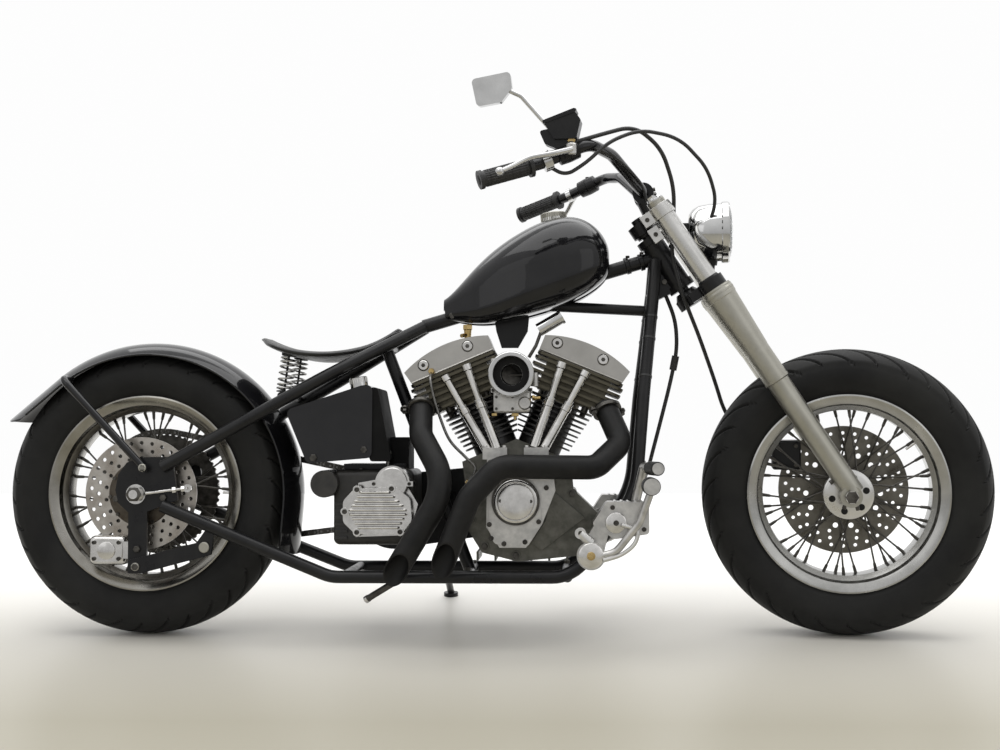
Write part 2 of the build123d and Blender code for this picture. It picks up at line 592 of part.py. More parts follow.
def controls():
    parts = BODIES["chassis"]
    body = plate([(1044, 310), (1133, 308), (1133, 242), (1060, 231), (1012, 262)], -232, 70)
    body = fillet(body.edges().filter_by(Axis.Y), 8)
    body += rod((1063, -240, 266), (1063, -230, 266), 20) + rod((1040, -163, 262), (1040, -120, 262), 18)
    body += rod((1010, -244, 197), (1010, -226, 197), 30) + plate([(990, 214), (1022, 268), (1052, 262), (1036, 196)],
                                                                   -226, 30)
    arm = bent([(1018, -240, 193), (1062, -246, 205), (1112, -256, 268), (1134, -264, 330)], [40, 50], 8)
    pad = rod((1134, -240, 344), (1134, -316, 344), 17)
    peg = rod((1128, -160, 380), (1146, -330, 381), 12) + rod((1124, -190, 380), (1106, -172, 300), 10)
    control = body + arm + pad + peg
    control -= parts["frame_cradle_right"]
    parts["forward_control_right"] = control
    left = mirrored(body + arm + pad + peg) - parts["frame_cradle_left"]
    parts["forward_control_left"] = left
    caliper = block((-111, -106, 163), (-24, -59, 229), 14) - rod((0, -84, 322), (0, -72, 322), 132)
    caliper += plate([(-60, 178), (-60, 216), (12, 216), (12, 178)], -107, 6)
    caliper += plate([(-10, 152), (-10, 172), (142, 211), (168, 245), (176, 238), (168, 192), (14, 151)], -127, 10)
    caliper += rod((4, -130, 162), (4, -127, 162), 9)
    caliper -= parts["frame_rear_stays"] + parts["frame_cradle_right"]
    parts["rear_caliper"] = caliper


STAND_PIVOT = Vector(690, 166, 120)
STAND_FOOT = Vector(664, 372, 0)
STAND_KNEE = Vector(663, 296, 96)
STAND_STOWED = Vector(-190, 16, -22)  # the leg's direction when it is folded back
STAND_DOWN = Vector(STAND_FOOT.X, STAND_FOOT.Y, STAND_FOOT.Y * tan(radians(LEAN_DEG))) - STAND_PIVOT
STAND_AXIS = STAND_DOWN.cross(STAND_STOWED).normalized()
STAND_RANGE = (0, 74)


def stand():
    floor_rise = STAND_FOOT.Y * tan(radians(LEAN_DEG)) + FLOOR / cos(radians(LEAN_DEG))
    foot = Vector(STAND_FOOT.X, STAND_FOOT.Y, floor_rise)
    up = Vector(0, -sin(radians(LEAN_DEG)), cos(radians(LEAN_DEG)))
    leg = bent([STAND_PIVOT, STAND_KNEE, foot + up * 9.5], [70], 8.5)
    leg += Plane(origin=foot, z_dir=up) * Cylinder(18, 9, align=(Align.CENTER, Align.CENTER, Align.MIN))
    leg += Pos(*STAND_PIVOT) * Sphere(15)
    leg += rod(STAND_PIVOT - STAND_AXIS * 14.5, STAND_PIVOT + STAND_AXIS * 14.5, 9)
    BODIES["side_stand"]["side_stand"] = leg


# Cables


def cable(points, radius):
    """A cable whose arcs are as large as their two runs allow."""
    points = [Vector(p) for p in points]
    radii = []
    for before, at, after in zip(points, points[1:], points[2:]):
        half_turn = radians((at - before).get_angle(after - at)) / 2
        radii.append(round(0.45 * min((at - before).length, (after - at).length) / tan(half_turn), 1))
    print("cable radii", radii)
    return bent(points, radii, radius)


THROTTLE_ROUTE = [(948, -298, 1034), (986, -293, 1012), (1030, -285, 1040), (1076, -274, 1084), (1140, -246, 1112),
                  (1222, -192, 1102), (1284, -112, 1044), (1304, -72, 976), (1282, -44, 916)]
BRAKE_ROUTE = [(990, -290, 1078), (1058, -270, 1100), (1128, -238, 1122), (1184, -180, 1082), (1210, -112, 1006),
               (1208, -60, 934), (1202, -46, 862), (1221, -48, 790), (1237, -43, 744), (1264, 8, 676),
               (1300, 62, 572), (1322, 78, 498), (1372, 84, 432), (1440, 84, 424)]
SWITCH_ROUTE = [(1004, -284, 1068), (1052, -250, 1084), (1110, -178, 1044), (1142, -92, 1012), (1156, -66, 946)]
CLUTCH_ROUTE = [(1184, 8, 784), (1212, 22, 716), (1216, 34, 650), (1200, 46, 570), (1172, 60, 460), (1144, 84, 350),
                (1100, 128, 262)]


def cables():
    steering = BODIES["steering"]
    held = [steering[name] for name in ("hand_controls", "headlamp", "fork_clamps", "front_caliper", "handlebar")]
    runs = [cable(THROTTLE_ROUTE, 4), cable(BRAKE_ROUTE, 4.5), cable(SWITCH_ROUTE, 3)]
    for other in held:
        runs = [largest(run - other) for run in runs]
    steering["steering_cables"] = Compound(runs)
    chassis = BODIES["chassis"]
    clutch = cable(CLUTCH_ROUTE, 4.5) + rod((1212.6, 36, 634), (1206.4, 41, 602), 8.5)
    for other in ("frame_backbone", "frame_cradle_left"):
        clutch = largest(clutch - chassis[other])
    chassis["clutch_cable"] = clutch


def build():
    rear_wheel()
    front_wheel()
    frame()
    tank()
    seat()
    fender()
    oil_tank()
    engine()
    gearbox()
    exhausts()
    fork()
    bars()
    controls()
    stand()
    cables()
    band = chain_band(7, CHAIN_PLANE - 9, 4.6) + chain_band(7, CHAIN_PLANE + 4.4, 4.6)
    BODIES["chassis"]["chain"] = band


STEERED = ("steering", "front_wheel")
STEER = Pos(*AXIS_FOOT) * Location((0, 0, 0), tuple(AXIS_UP), STEER_DEG) * Pos(*-AXIS_FOOT)
LEAN = Rot(-LEAN_DEG, 0, 0)


def placed():
    """Each node turned where it is steered and leaned, then all moved to stand over the origin."""
    nodes = {}
    for body, parts in BODIES.items():
        for name, shape in parts.items():
            nodes[name] = (LEAN * STEER if body in STEERED else LEAN) * shape
    box = Compound(list(nodes.values())).bounding_box()
    centring = Pos(-box.center().X, -box.center().Y, -box.min.Z)
    return {name: centring * shape for name, shape in nodes.items()}, centring


build()
nodes, CENTRING = placed()
os.makedirs("parts", exist_ok=True)
for name, shape in nodes.items():
    export_step(shape, f"parts/{name}.step")
for name in ("rear_tyre", "front_tyre", "side_stand"):
    print(name, "lowest", round(nodes[name].bounding_box().min.Z, 2))
print("centring", CENTRING.position)
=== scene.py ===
"""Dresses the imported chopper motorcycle: finishes for the CAD nodes, and the small forms left out of them.

Shapes are drawn in the machine's own upright millimetres (+X forward, +Y left, +Z up, rear axle above X = 0).
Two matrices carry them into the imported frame: BIKE for what only leans, STEERED for what the bars turn too.
"""

import json
from math import atan2, cos, hypot, pi, radians, sin, tan

import bmesh
import bpy
from mathutils import Matrix, Vector
import numpy as np


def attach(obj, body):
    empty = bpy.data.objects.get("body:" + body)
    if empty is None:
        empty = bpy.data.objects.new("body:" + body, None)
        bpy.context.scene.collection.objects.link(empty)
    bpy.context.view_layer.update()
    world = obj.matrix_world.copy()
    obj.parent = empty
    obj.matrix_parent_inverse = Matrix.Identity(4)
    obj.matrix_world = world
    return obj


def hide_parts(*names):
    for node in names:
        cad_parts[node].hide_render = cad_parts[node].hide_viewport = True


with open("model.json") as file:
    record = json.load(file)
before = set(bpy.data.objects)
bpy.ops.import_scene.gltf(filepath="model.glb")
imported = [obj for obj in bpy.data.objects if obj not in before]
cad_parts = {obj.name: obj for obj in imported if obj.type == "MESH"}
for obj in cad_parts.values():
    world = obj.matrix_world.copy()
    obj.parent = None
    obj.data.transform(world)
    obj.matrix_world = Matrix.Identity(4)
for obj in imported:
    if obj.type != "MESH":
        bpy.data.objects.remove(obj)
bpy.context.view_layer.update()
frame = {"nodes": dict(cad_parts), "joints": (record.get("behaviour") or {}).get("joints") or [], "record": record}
NODES = frame["nodes"]
JOINTS = {joint["name"]: joint for joint in frame["joints"]}
SCENE = bpy.context.scene

# The machine's driving dimensions, in millimetres and degrees

WHEELBASE = 1589.0
TYRE_RADIUS = 322.0
TYRE_HALF_WIDTH = 64.0
RAKE_DEG = 33.5
AXIS_OFFSET = 55.0
STEER_DEG = -6.2
LEAN_DEG = 7.0
FRONT_AXLE_HEIGHT = 322.8
FORK_SPREAD = 95.0
FORK_AHEAD = 56.0
BANK_DEG = 22.5
CRANK = Vector((848, 0, 307))
CHAIN_PLANE = 93.0
RIGHT, LEFT = -1, 1
OUT_RIGHT, OUT_LEFT = Vector((0, -1, 0)), Vector((0, 1, 0))
SIDES = ((RIGHT, OUT_RIGHT), (LEFT, OUT_LEFT))
SIDEWAYS, UP = OUT_LEFT, Vector((0, 0, 1))

AXIS_UP = Vector((-sin(radians(RAKE_DEG)), 0, cos(radians(RAKE_DEG))))
AXIS_AHEAD = Vector((cos(radians(RAKE_DEG)), 0, sin(radians(RAKE_DEG))))
AXIS_FOOT = Vector((WHEELBASE - AXIS_OFFSET, 0, TYRE_RADIUS))
REAR_AXLE = Vector((0, 0, TYRE_RADIUS))
FRONT_AXLE = Vector((WHEELBASE, 0, FRONT_AXLE_HEIGHT))

LEAN = Matrix.Rotation(radians(-LEAN_DEG), 4, "X")
CENTRING = Vector(JOINTS["rear_wheel_spin"]["pos_m"]) - LEAN @ (REAR_AXLE / 1000)
BIKE = Matrix.Translation(CENTRING) @ LEAN @ Matrix.Scale(0.001, 4)
STEER = Matrix.Translation(AXIS_FOOT) @ Matrix.Rotation(radians(STEER_DEG), 4, AXIS_UP)
STEERED = BIKE @ STEER @ Matrix.Translation(-AXIS_FOOT)
STEERED_BODIES = ("steering", "front_wheel")


def on_axis(along, ahead=0.0, side=0.0):
    """A point given along the steering axis from axle height, ahead of it, and to the left."""
    return AXIS_FOOT + AXIS_UP * along + AXIS_AHEAD * ahead + Vector((0, side, 0))


# Camera, backdrop and light

CAMERA_AT = Vector((0.956779, -3.075126, 0.817136))
CAMERA_YAW, CAMERA_PITCH, CAMERA_ROLL = 0.04729, 0.0733, -0.00785
CAMERA_LENS = 49.505
FLOOR_DEPTHS = (-0.75, 0.10, 0.75, 1.8)  # metres along Y, nearest first
# painted shade and light: the tones darken towards the camera as the light falls off over the floor, and the pale
# tones behind are raised to lift the shade under the machine
FLOOR_TONES = ((0.42, 0.395, 0.32), (0.765, 0.745, 0.695), (0.955, 0.95, 0.93), (0.965, 0.965, 0.96))
FLOOR_ROUGHNESS = (0.32, 0.48)
WALL_AT = 1.87
WALL_LIGHT = (0.88, 0.985)  # as it lights the machine, and as it is seen
STAGE_HALF_WIDTH, STAGE_FRONT, WALL_HEIGHT = 14.0, 9.0, 9.0
WORLD_HEIGHTS, WORLD_LIGHT = (-0.55, 0.75), (0.36, 0.95)  # of a ray's direction, and the light from there


def added(name, data):
    """A new object, linked to the scene."""
    made = bpy.data.objects.new(name, data)
    SCENE.collection.objects.link(made)
    return made


def make_camera():
    data = bpy.data.cameras.new("camera")
    data.lens, data.sensor_width = CAMERA_LENS, 36.0
    camera = added("camera", data)
    yaw, pitch = CAMERA_YAW, CAMERA_PITCH
    ahead = Vector((-sin(yaw) * cos(pitch), cos(yaw) * cos(pitch), -sin(pitch)))
    right = Vector((cos(yaw), sin(yaw), 0))
    up = right.cross(ahead)
    turned_right = right * cos(CAMERA_ROLL) + up * sin(CAMERA_ROLL)
    turned_up = up * cos(CAMERA_ROLL) - right * sin(CAMERA_ROLL)
    turn = Matrix((turned_right, turned_up, -ahead)).transposed().to_4x4()
    camera.matrix_world = Matrix.Translation(CAMERA_AT + CENTRING) @ turn
    SCENE.camera = camera


def node_tree(name):
    made = bpy.data.materials.new(name)
    made.use_nodes = True
    tree = made.node_tree
    tree.nodes.clear()
    return made, tree


def add_node(tree, kind, inputs=None, **properties):
    """A shader node. Each input is given a value, or another node's output to be linked to."""
    node = tree.nodes.new("ShaderNode" + kind)
    for key, value in properties.items():
        setattr(node, key, value)
    for key, value in (inputs or {}).items():
        if isinstance(value, bpy.types.NodeSocket):
            tree.links.new(value, node.inputs[key])
        else:
            node.inputs[key].default_value = value
    return node


def map_range(tree, value, to_range=(0.0, 1.0), from_range=(0.0, 1.0)):
    """A value carried from one range to another."""
    ends = {"Value": value, "From Min": from_range[0], "From Max": from_range[1], "To Min": to_range[0],
            "To Max": to_range[1]}
    return add_node(tree, "MapRange", ends).outputs[0]


def seen_ray(tree):
    """1 for camera, glossy and transmission rays, 0 for the rays that light the object."""
    path = add_node(tree, "LightPath").outputs
    first = add_node(tree, "Math", {0: path["Is Camera Ray"], 1: path["Is Glossy Ray"]}, operation="MAXIMUM")
    both = {0: first.outputs[0], 1: path["Is Transmission Ray"]}
    return add_node(tree, "Math", both, operation="MAXIMUM").outputs[0]


def stage_plane(name, corners, made):
    mesh = bpy.data.meshes.new(name)
    mesh.from_pydata(corners, [], [(0, 1, 2, 3)])
    mesh.materials.append(made)
    added(name, mesh)


def make_floor():
    """A satin floor that pales with its depth; its darker tones near the camera are painted shade, for the light
    falling off over the floor.
    """
    made, tree = node_tree("floor")
    place = add_node(tree, "NewGeometry").outputs["Position"]
    depth = add_node(tree, "SeparateXYZ", {0: place}).outputs["Y"]
    near, far = FLOOR_DEPTHS[0], FLOOR_DEPTHS[-1]
    ramp = add_node(tree, "ValToRGB", {"Fac": map_range(tree, depth, from_range=(near, far))})
    stops = ramp.color_ramp.elements
    for _ in FLOOR_DEPTHS[2:]:
        stops.new(0.5)
    for stop, stop_depth, tone in zip(stops, FLOOR_DEPTHS, FLOOR_TONES):
        stop.position = (stop_depth - near) / (far - near)
        stop.color = (*tone, 1)
    cloud = add_node(tree, "TexNoise", {"Vector": place, "Scale": 2.2, "Detail": 3.0}).outputs["Fac"]
    shader = add_node(tree, "BsdfPrincipled", {
        "Base Color": ramp.outputs["Color"], "Roughness": map_range(tree, cloud, FLOOR_ROUGHNESS),
        "Specular IOR Level": 0.4})
    add_node(tree, "OutputMaterial", {0: shader.outputs[0]})
    left, right, front = -STAGE_HALF_WIDTH, STAGE_HALF_WIDTH, -STAGE_FRONT
    stage_plane("floor", [(left, front, 0), (right, front, 0), (right, WALL_AT, 0), (left, WALL_AT, 0)], made)


def make_wall():
    made, tree = node_tree("wall")
    level = map_range(tree, seen_ray(tree), WALL_LIGHT)
    glow = add_node(tree, "Emission", {"Color": (1, 1, 1, 1), "Strength": level})
    add_node(tree, "OutputMaterial", {0: glow.outputs[0]})
    left, right = -STAGE_HALF_WIDTH, STAGE_HALF_WIDTH
    stage_plane("wall", [(left, WALL_AT, 0), (right, WALL_AT, 0), (right, WALL_AT, WALL_HEIGHT),
            (left, WALL_AT, WALL_HEIGHT)], made)


def make_world():
    """White to the eye; for reflections, bright above and behind and grey towards the camera's side."""
    world = SCENE.world or bpy.data.worlds.new("world")
    SCENE.world = world
    world.use_nodes = True
    tree = world.node_tree
    tree.nodes.clear()
    split = add_node(tree, "SeparateXYZ", {0: add_node(tree, "TexCoord").outputs["Generated"]}).outputs
    height = add_node(tree, "Math", {0: split["Y"], 1: split["Z"]}, operation="MAXIMUM").outputs[0]
    side = map_range(tree, height, WORLD_LIGHT, WORLD_HEIGHTS)
    path = add_node(tree, "LightPath").outputs
    pick = add_node(tree, "Mix", {"Factor": path["Is Camera Ray"], "A": side, "B": 1.0}, data_type="FLOAT")
    back = add_node(tree, "Background", {"Color": (1, 1, 1, 1), "Strength": pick.outputs["Result"]})
    add_node(tree, "OutputWorld", {0: back.outputs[0]})


# name, place, aimed at, width, height, watts
LAMPS = [
    ("overhead", (0.2, -0.1, 3.4), (0.1, 0.1, 0.3), 5.0, 2.6, 76),
    ("front_left", (-3.0, -3.4, 2.2), (-0.2, 0.0, 0.5), 2.2, 2.2, 6),
    ("front_right", (3.2, -3.0, 2.0), (0.3, 0.0, 0.5), 2.2, 2.2, 6),
    ("behind", (0.0, 1.7, 2.6), (0.0, 0.0, 0.5), 4.0, 1.0, 22),
]


def make_lamps():
    for name, place, target, width, height, watts in LAMPS:
        data = bpy.data.lights.new(name, "AREA")
        data.shape, data.size, data.size_y, data.energy = "RECTANGLE", width, height, watts
        lamp = added(name, data)
        lamp.rotation_mode = "QUATERNION"
        lamp.rotation_quaternion = (Vector(target) - Vector(place)).to_track_quat("-Z", "Y")
        lamp.location = place
        lamp.visible_camera = False


SCENE.view_settings.view_transform = "Standard"
make_camera()
make_floor()
make_wall()
make_world()
make_lamps()


# Finishes


def finish(name, colour, second, metallic, roughness, bump, grain=900.0, cloud=18.0, coat=0.0, specular=0.5,
        contrast=(0.35, 0.7), depth=0.0004, glass=0.0):
    """A two-tone finish: a cloud mixes the tones and the roughness, and a fine grain raises the surface."""
    made, tree = node_tree(name)
    place = add_node(tree, "TexCoord").outputs["Object"]
    noise = {"Vector": place, "Roughness": 0.6}
    clouds = add_node(tree, "TexNoise", {**noise, "Scale": cloud, "Detail": 6.0}).outputs["Fac"]
    grains = add_node(tree, "TexNoise", {**noise, "Scale": grain, "Detail": 3.0}).outputs["Fac"]
    share = map_range(tree, clouds, from_range=contrast)
    tint = add_node(tree, "Mix", {"Factor": share, "A": (*colour, 1), "B": (*second, 1)}, data_type="RGBA")
    raised = add_node(tree, "Bump", {"Strength": bump, "Distance": depth, "Height": grains})
    shader = add_node(tree, "BsdfPrincipled", {
        "Base Color": tint.outputs["Result"], "Metallic": metallic, "Normal": raised.outputs[0],
        "Roughness": map_range(tree, share, roughness), "Coat Weight": coat, "Coat Roughness": 0.04,
        "Specular IOR Level": specular, "Transmission Weight": glass})
    add_node(tree, "OutputMaterial", {0: shader.outputs[0]})
    return made


# tone, second tone, metallic, range of roughness, strength of the grain, and what else differs from defaults
LOOKS = {
    "black_gloss": ((0.005, 0.005, 0.006), (0.009, 0.009, 0.010), 0, (0.16, 0.24), 0.010,
        dict(grain=260, coat=0.62, specular=0.08)),
    "black_satin": ((0.007, 0.007, 0.008), (0.014, 0.014, 0.014), 0, (0.26, 0.42), 0.05,
        dict(grain=500, coat=0.08, specular=0.22)),
    "black_matt": ((0.008, 0.008, 0.008), (0.015, 0.0145, 0.014), 0, (0.42, 0.56), 0.2,
        dict(grain=1400, cloud=30, specular=0.18)),
    "tyre_rubber": ((0.011, 0.011, 0.011), (0.020, 0.020, 0.019), 0, (0.46, 0.62), 0.2,
        dict(grain=1600, cloud=9, specular=0.13)),
    "rim_silver": ((0.33, 0.328, 0.315), (0.45, 0.448, 0.435), 1, (0.18, 0.30), 0.05,
        dict(grain=1500, cloud=14)),
    "disc_dark": ((0.115, 0.108, 0.092), (0.19, 0.18, 0.158), 1, (0.26, 0.4), 0.15,
        dict(grain=2000, cloud=26)),
    # painted shade: a flat black that hardly reflects, for pieces put where there is only shade
    "shade_black": ((0.007, 0.007, 0.007), (0.012, 0.012, 0.012), 0, (0.6, 0.75), 0.1, dict(specular=0.06)),
    "rubber": ((0.012, 0.012, 0.012), (0.022, 0.022, 0.022), 0, (0.45, 0.6), 0.3, dict(grain=1800)),
    "rim_aluminium": ((0.52, 0.515, 0.50), (0.66, 0.655, 0.64), 1, (0.24, 0.36), 0.08, dict(grain=1500)),
    "rim_steel": ((0.22, 0.21, 0.185), (0.34, 0.33, 0.305), 1, (0.16, 0.30), 0.08,
        dict(grain=900, cloud=16, contrast=(0.3, 0.75))),
    "disc_steel": ((0.30, 0.27, 0.235), (0.46, 0.44, 0.41), 1, (0.26, 0.4), 0.15, dict(grain=2000, cloud=26)),
    "dark_steel": ((0.045, 0.042, 0.038), (0.12, 0.115, 0.105), 0.9, (0.3, 0.5), 0.2, dict(cloud=60)),
    "chrome": ((0.50, 0.50, 0.495), (0.62, 0.62, 0.615), 1, (0.05, 0.14), 0.01, dict(grain=300)),
    "champagne": ((0.345, 0.335, 0.292), (0.43, 0.42, 0.378), 1, (0.34, 0.46), 0.06,
        dict(grain=1100, cloud=12)),
    "cast": ((0.40, 0.395, 0.38), (0.60, 0.59, 0.57), 1, (0.28, 0.46), 0.45, dict(grain=700, cloud=45)),
    "polished": ((0.52, 0.51, 0.49), (0.68, 0.67, 0.655), 1, (0.12, 0.26), 0.06, dict(grain=600, cloud=40)),
    "engine_grey": ((0.078, 0.077, 0.066), (0.165, 0.162, 0.143), 0.85, (0.32, 0.52), 0.5,
        dict(grain=600, cloud=38)),
    "fin_black": ((0.010, 0.0095, 0.009), (0.028, 0.026, 0.023), 0, (0.34, 0.52), 0.3,
        dict(grain=900, cloud=40)),
    "rocker_grey": ((0.37, 0.36, 0.338), (0.44, 0.43, 0.408), 1, (0.30, 0.40), 0.16,
        dict(grain=1200, cloud=14)),
    "leather": ((0.011, 0.011, 0.011), (0.021, 0.020, 0.019), 0, (0.34, 0.5), 0.55,
        dict(grain=420, cloud=30, depth=0.0012)),
    "brass": ((0.42, 0.30, 0.12), (0.56, 0.42, 0.20), 1, (0.2, 0.36), 0.1, dict(cloud=70)),
    "hose": ((0.010, 0.010, 0.010), (0.018, 0.018, 0.018), 0, (0.3, 0.45), 0.12, dict(grain=1500)),
    "spring_steel": ((0.10, 0.098, 0.092), (0.24, 0.235, 0.225), 1, (0.22, 0.36), 0.1, dict(cloud=60)),
    "carrier_brown": ((0.050, 0.040, 0.030), (0.095, 0.082, 0.066), 0.8, (0.34, 0.5), 0.2, dict(cloud=50)),
    "spring_bright": ((0.42, 0.415, 0.40), (0.60, 0.595, 0.58), 1, (0.14, 0.26), 0.05, dict(cloud=60)),
    "lens": ((0.86, 0.88, 0.88), (0.92, 0.93, 0.93), 0, (0.02, 0.05), 0.02, dict(grain=160, glass=0.92)),
    "mirror_face": ((0.80, 0.81, 0.81), (0.84, 0.85, 0.85), 1, (0.01, 0.02), 0.0, dict()),
    "lamp_white": ((0.62, 0.61, 0.58), (0.70, 0.69, 0.66), 0, (0.16, 0.24), 0.02, dict()),
}
FINISH = {name: finish(name, *look[:-1], **look[-1]) for name, look in LOOKS.items()}
HEAD_JOINT = (0.2370, 0.2385)  # metres from the crank, where barrels end and heads begin
HEAD_OLIVE = (0.098, 0.090, 0.068)


def bronze_heads(made):
    """Turns a finish olive above the joint between barrels and heads, in the cylinders' own frames."""
    tree = made.node_tree
    shader = next(node for node in tree.nodes if node.type == "BSDF_PRINCIPLED")
    tone = shader.inputs["Base Color"].links[0].from_socket
    own = add_node(tree, "Mapping", {
        "Vector": add_node(tree, "NewGeometry").outputs["Position"], "Rotation": (radians(LEAN_DEG), 0, 0),
        "Location": LEAN.inverted() @ -CENTRING - CRANK / 1000})
    folded = add_node(tree, "VectorMath", {0: own.outputs[0]}, operation="ABSOLUTE")
    bore = (sin(radians(BANK_DEG)), 0, cos(radians(BANK_DEG)))
    along = add_node(tree, "VectorMath", {0: folded.outputs[0], 1: bore}, operation="DOT_PRODUCT")
    above = map_range(tree, along.outputs["Value"], from_range=HEAD_JOINT)
    tint = add_node(tree, "Mix", {"Factor": above, "A": tone, "B": (*HEAD_OLIVE, 1)}, data_type="RGBA")
    tree.links.new(tint.outputs["Result"], shader.inputs["Base Color"])
    tree.links.new(above, shader.inputs["Metallic"])


bronze_heads(FINISH["fin_black"])

# a CAD node's finish where it isn't its slot's
NODE_FINISH = {"front_disc": "disc_dark"}

# Shapes


def frame_across(direction):
    """Two unit vectors square to a direction and to each other."""
    direction = direction.normalized()
    helper = UP if abs(direction.z) < 0.9 else Vector((1, 0, 0))
    first = direction.cross(helper).normalized()
    return first, direction.cross(first).normalized()


def around(axis, radius, count, start=0.0):
    """Offsets evenly spaced on a circle square to an axis."""
    u, v = frame_across(Vector(axis))
    turns = (start + 2 * pi * i / count for i in range(count))
    return [(u * cos(turn) + v * sin(turn)) * radius for turn in turns]


class Shape:
    """Faces gathered in the machine's millimetres and made into one mesh object that rides on a body."""

    def __init__(self, name, first_finish, body="chassis", bevel=0.0, sharp=35.0):
        self.name, self.body, self.bevel, self.sharp = name, body, bevel, sharp
        self.points, self.faces, self.tones = [], [], []
        self.finishes, self.tone = [first_finish], 0

    def use(self, name):
        """Gives a finish to the faces that follow."""
        if name not in self.finishes:
            self.finishes.append(name)
        self.tone = self.finishes.index(name)

    def add(self, points, faces):
        base = len(self.points)
        self.points.extend(points)
        self.faces.extend([tuple(base + i for i in face) for face in faces])
        self.tones.extend([self.tone] * len(faces))

    def rings(self, rings, closed=False, caps=True):
        """Joins rings of equal length with quads; caps close both ends."""
        count = len(rings[0])
        faces = []
        for i in range(len(rings) if closed else len(rings) - 1):
            a, b = i * count, (i + 1) % len(rings) * count
            for j in range(count):
                k = (j + 1) % count
                faces.append((a + j, a + k, b + k, b + j))
        if caps and not closed:
            faces.append(tuple(reversed(range(count))))
            end = (len(rings) - 1) * count
            faces.append(tuple(range(end, end + count)))
        self.add([p for ring in rings for p in ring], faces)

    def turned(self, outline, centre, axis, segments, closed=False):
        """A solid of revolution; the outline is (along the axis, radius) pairs."""
        centre, axis = Vector(centre), Vector(axis).normalized()
        rings = [[centre + axis * along + off for off in around(axis, radius, segments)] for along,
                radius in outline]
        self.rings(rings, closed=closed, caps=not closed)

    def rod(self, start, end, radius, end_radius=None, segments=16):
        start, end = Vector(start), Vector(end)
        run = (end - start).length
        outline = [(0, radius), (run, radius if end_radius is None else end_radius)]
        self.turned(outline, start, end - start, segments)

    def stepped(self, start, end, outline, segments=24):
        """A turned bar between two points; the outline is (share of the length, radius) pairs."""
        start, end = Vector(start), Vector(end)
        run = (end - start).length
        self.turned([(share * run, radius) for share, radius in outline], start, end - start, segments)

    def tube(self, points, radius, sides=12, closed=False, radii=None):
        """A round tube along points, with its section carried along without twist."""
        points = [Vector(p) for p in points]
        count = len(points)
        rings, across = [], None
        for i, p in enumerate(points):
            ahead = points[(i + 1) % count] if closed or i + 1 < count else p
            behind = points[i - 1] if closed or i > 0 else p
            run = (ahead - behind).normalized()
            if across is None:
                across = frame_across(run)[0]
            across = (across - run * across.dot(run)).normalized()
            other = run.cross(across)
            r = radii[i] if radii else radius
            turns = (2 * pi * k / sides for k in range(sides))
            rings.append([p + (across * cos(turn) + other * sin(turn)) * r for turn in turns])
        self.rings(rings, closed=closed, caps=not closed)

    def prism(self, outline, origin, x_dir, y_dir, depth):
        """A flat outline of (x, y) pairs, extruded along x_dir cross y_dir."""
        origin, x_dir, y_dir = Vector(origin), Vector(x_dir).normalized(), Vector(y_dir).normalized()
        out = x_dir.cross(y_dir) * depth
        low = [origin + x_dir * x + y_dir * y for x, y in outline]
        self.rings([low, [p + out for p in low]])

    def plate(self, outline, side, thickness):
        """A plate whose (x, z) outline is extruded from one side value towards the left."""
        low = [Vector((x, side, z)) for x, z in outline]
        self.rings([low, [p + SIDEWAYS * thickness for p in low]])

    def block(self, low, high):
        (a, b, c), (x, y, z) = low, high
        self.rings([[Vector(p) for p in ((a, b, k), (x, b, k), (x, y, k), (a, y, k))] for k in (c, z)])

    def hexagon(self, centre, axis, across, height, socket=0.0):
        """A hexagon head, or with a socket radius a round socket screw."""
        radius = across / 2 / cos(pi / 6)
        if socket:
            r = across / 2
            self.turned([(0, r), (height * 0.82, r), (height, r * 0.88), (height, socket),
                    (height * 0.4, socket)], centre, axis, 16)
        else:
            self.turned([(0, radius), (height * 0.85, radius), (height, radius * 0.86)], centre, axis, 6)

    def washer(self, centre, axis, half, outer, inner, segments):
        """A ring that reaches half of its thickness to both sides of its centre."""
        outline = [(-half, outer), (half, outer), (half, inner), (-half, inner)]
        self.turned(outline, centre, axis, segments, closed=True)

    def bolts(self, places, side, out, across, height, socket=0.0):
        """Bolt heads at (x, z) places on one side value."""
        for x, z in places:
            self.hexagon((x, side, z), out, across, height, socket)

    def bolt_ring(self, centre, axis, ring, count, across, height, start_deg=0.0, socket=0.0):
        """Bolt heads evenly round a circle."""
        for off in around(axis, ring, count, radians(start_deg)):
            self.hexagon(centre + off, axis, across, height, socket)

    def ribbed(self, foot, axis, low, high, radius, count, thick):
        """Thin rods along an axis, evenly round it."""
        for off in around(axis, radius, count):
            self.rod(foot + off + axis * low, foot + off + axis * high, thick, segments=6)

    def ball(self, centre, radius):
        outline = [(-radius * cos(pi * i / 10), max(radius * sin(pi * i / 10), 0.02)) for i in range(11)]
        self.turned(outline, centre, UP, 20)

    def made(self, *replaced):
        """The mesh object, riding on its body, in place of the CAD nodes that it replaces."""
        mesh = bpy.data.meshes.new(self.name)
        mesh.from_pydata(self.points, [], self.faces)
        mesh.transform(STEERED if self.body in STEERED_BODIES else BIKE)
        for name in self.finishes:
            mesh.materials.append(FINISH[name])
        mesh.polygons.foreach_set("material_index", self.tones)
        mesh.update()
        bm = bmesh.new()
        bm.from_mesh(mesh)
        bmesh.ops.recalc_face_normals(bm, faces=bm.faces)
        bm.to_mesh(mesh)
        bm.free()
        mesh.polygons.foreach_set("use_smooth", [True] * len(mesh.polygons))
        mesh.set_sharp_from_angle(angle=radians(self.sharp))
        piece = added(self.name, mesh)
        if self.bevel:
            rounding = piece.modifiers.new("rounding", "BEVEL")
            rounding.width, rounding.segments = self.bevel / 1000, 2
            rounding.limit_method, rounding.angle_limit = "ANGLE", radians(40)
            rounding.harden_normals = True
        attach(piece, self.body)
        if replaced:
            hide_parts(*replaced)
        return piece


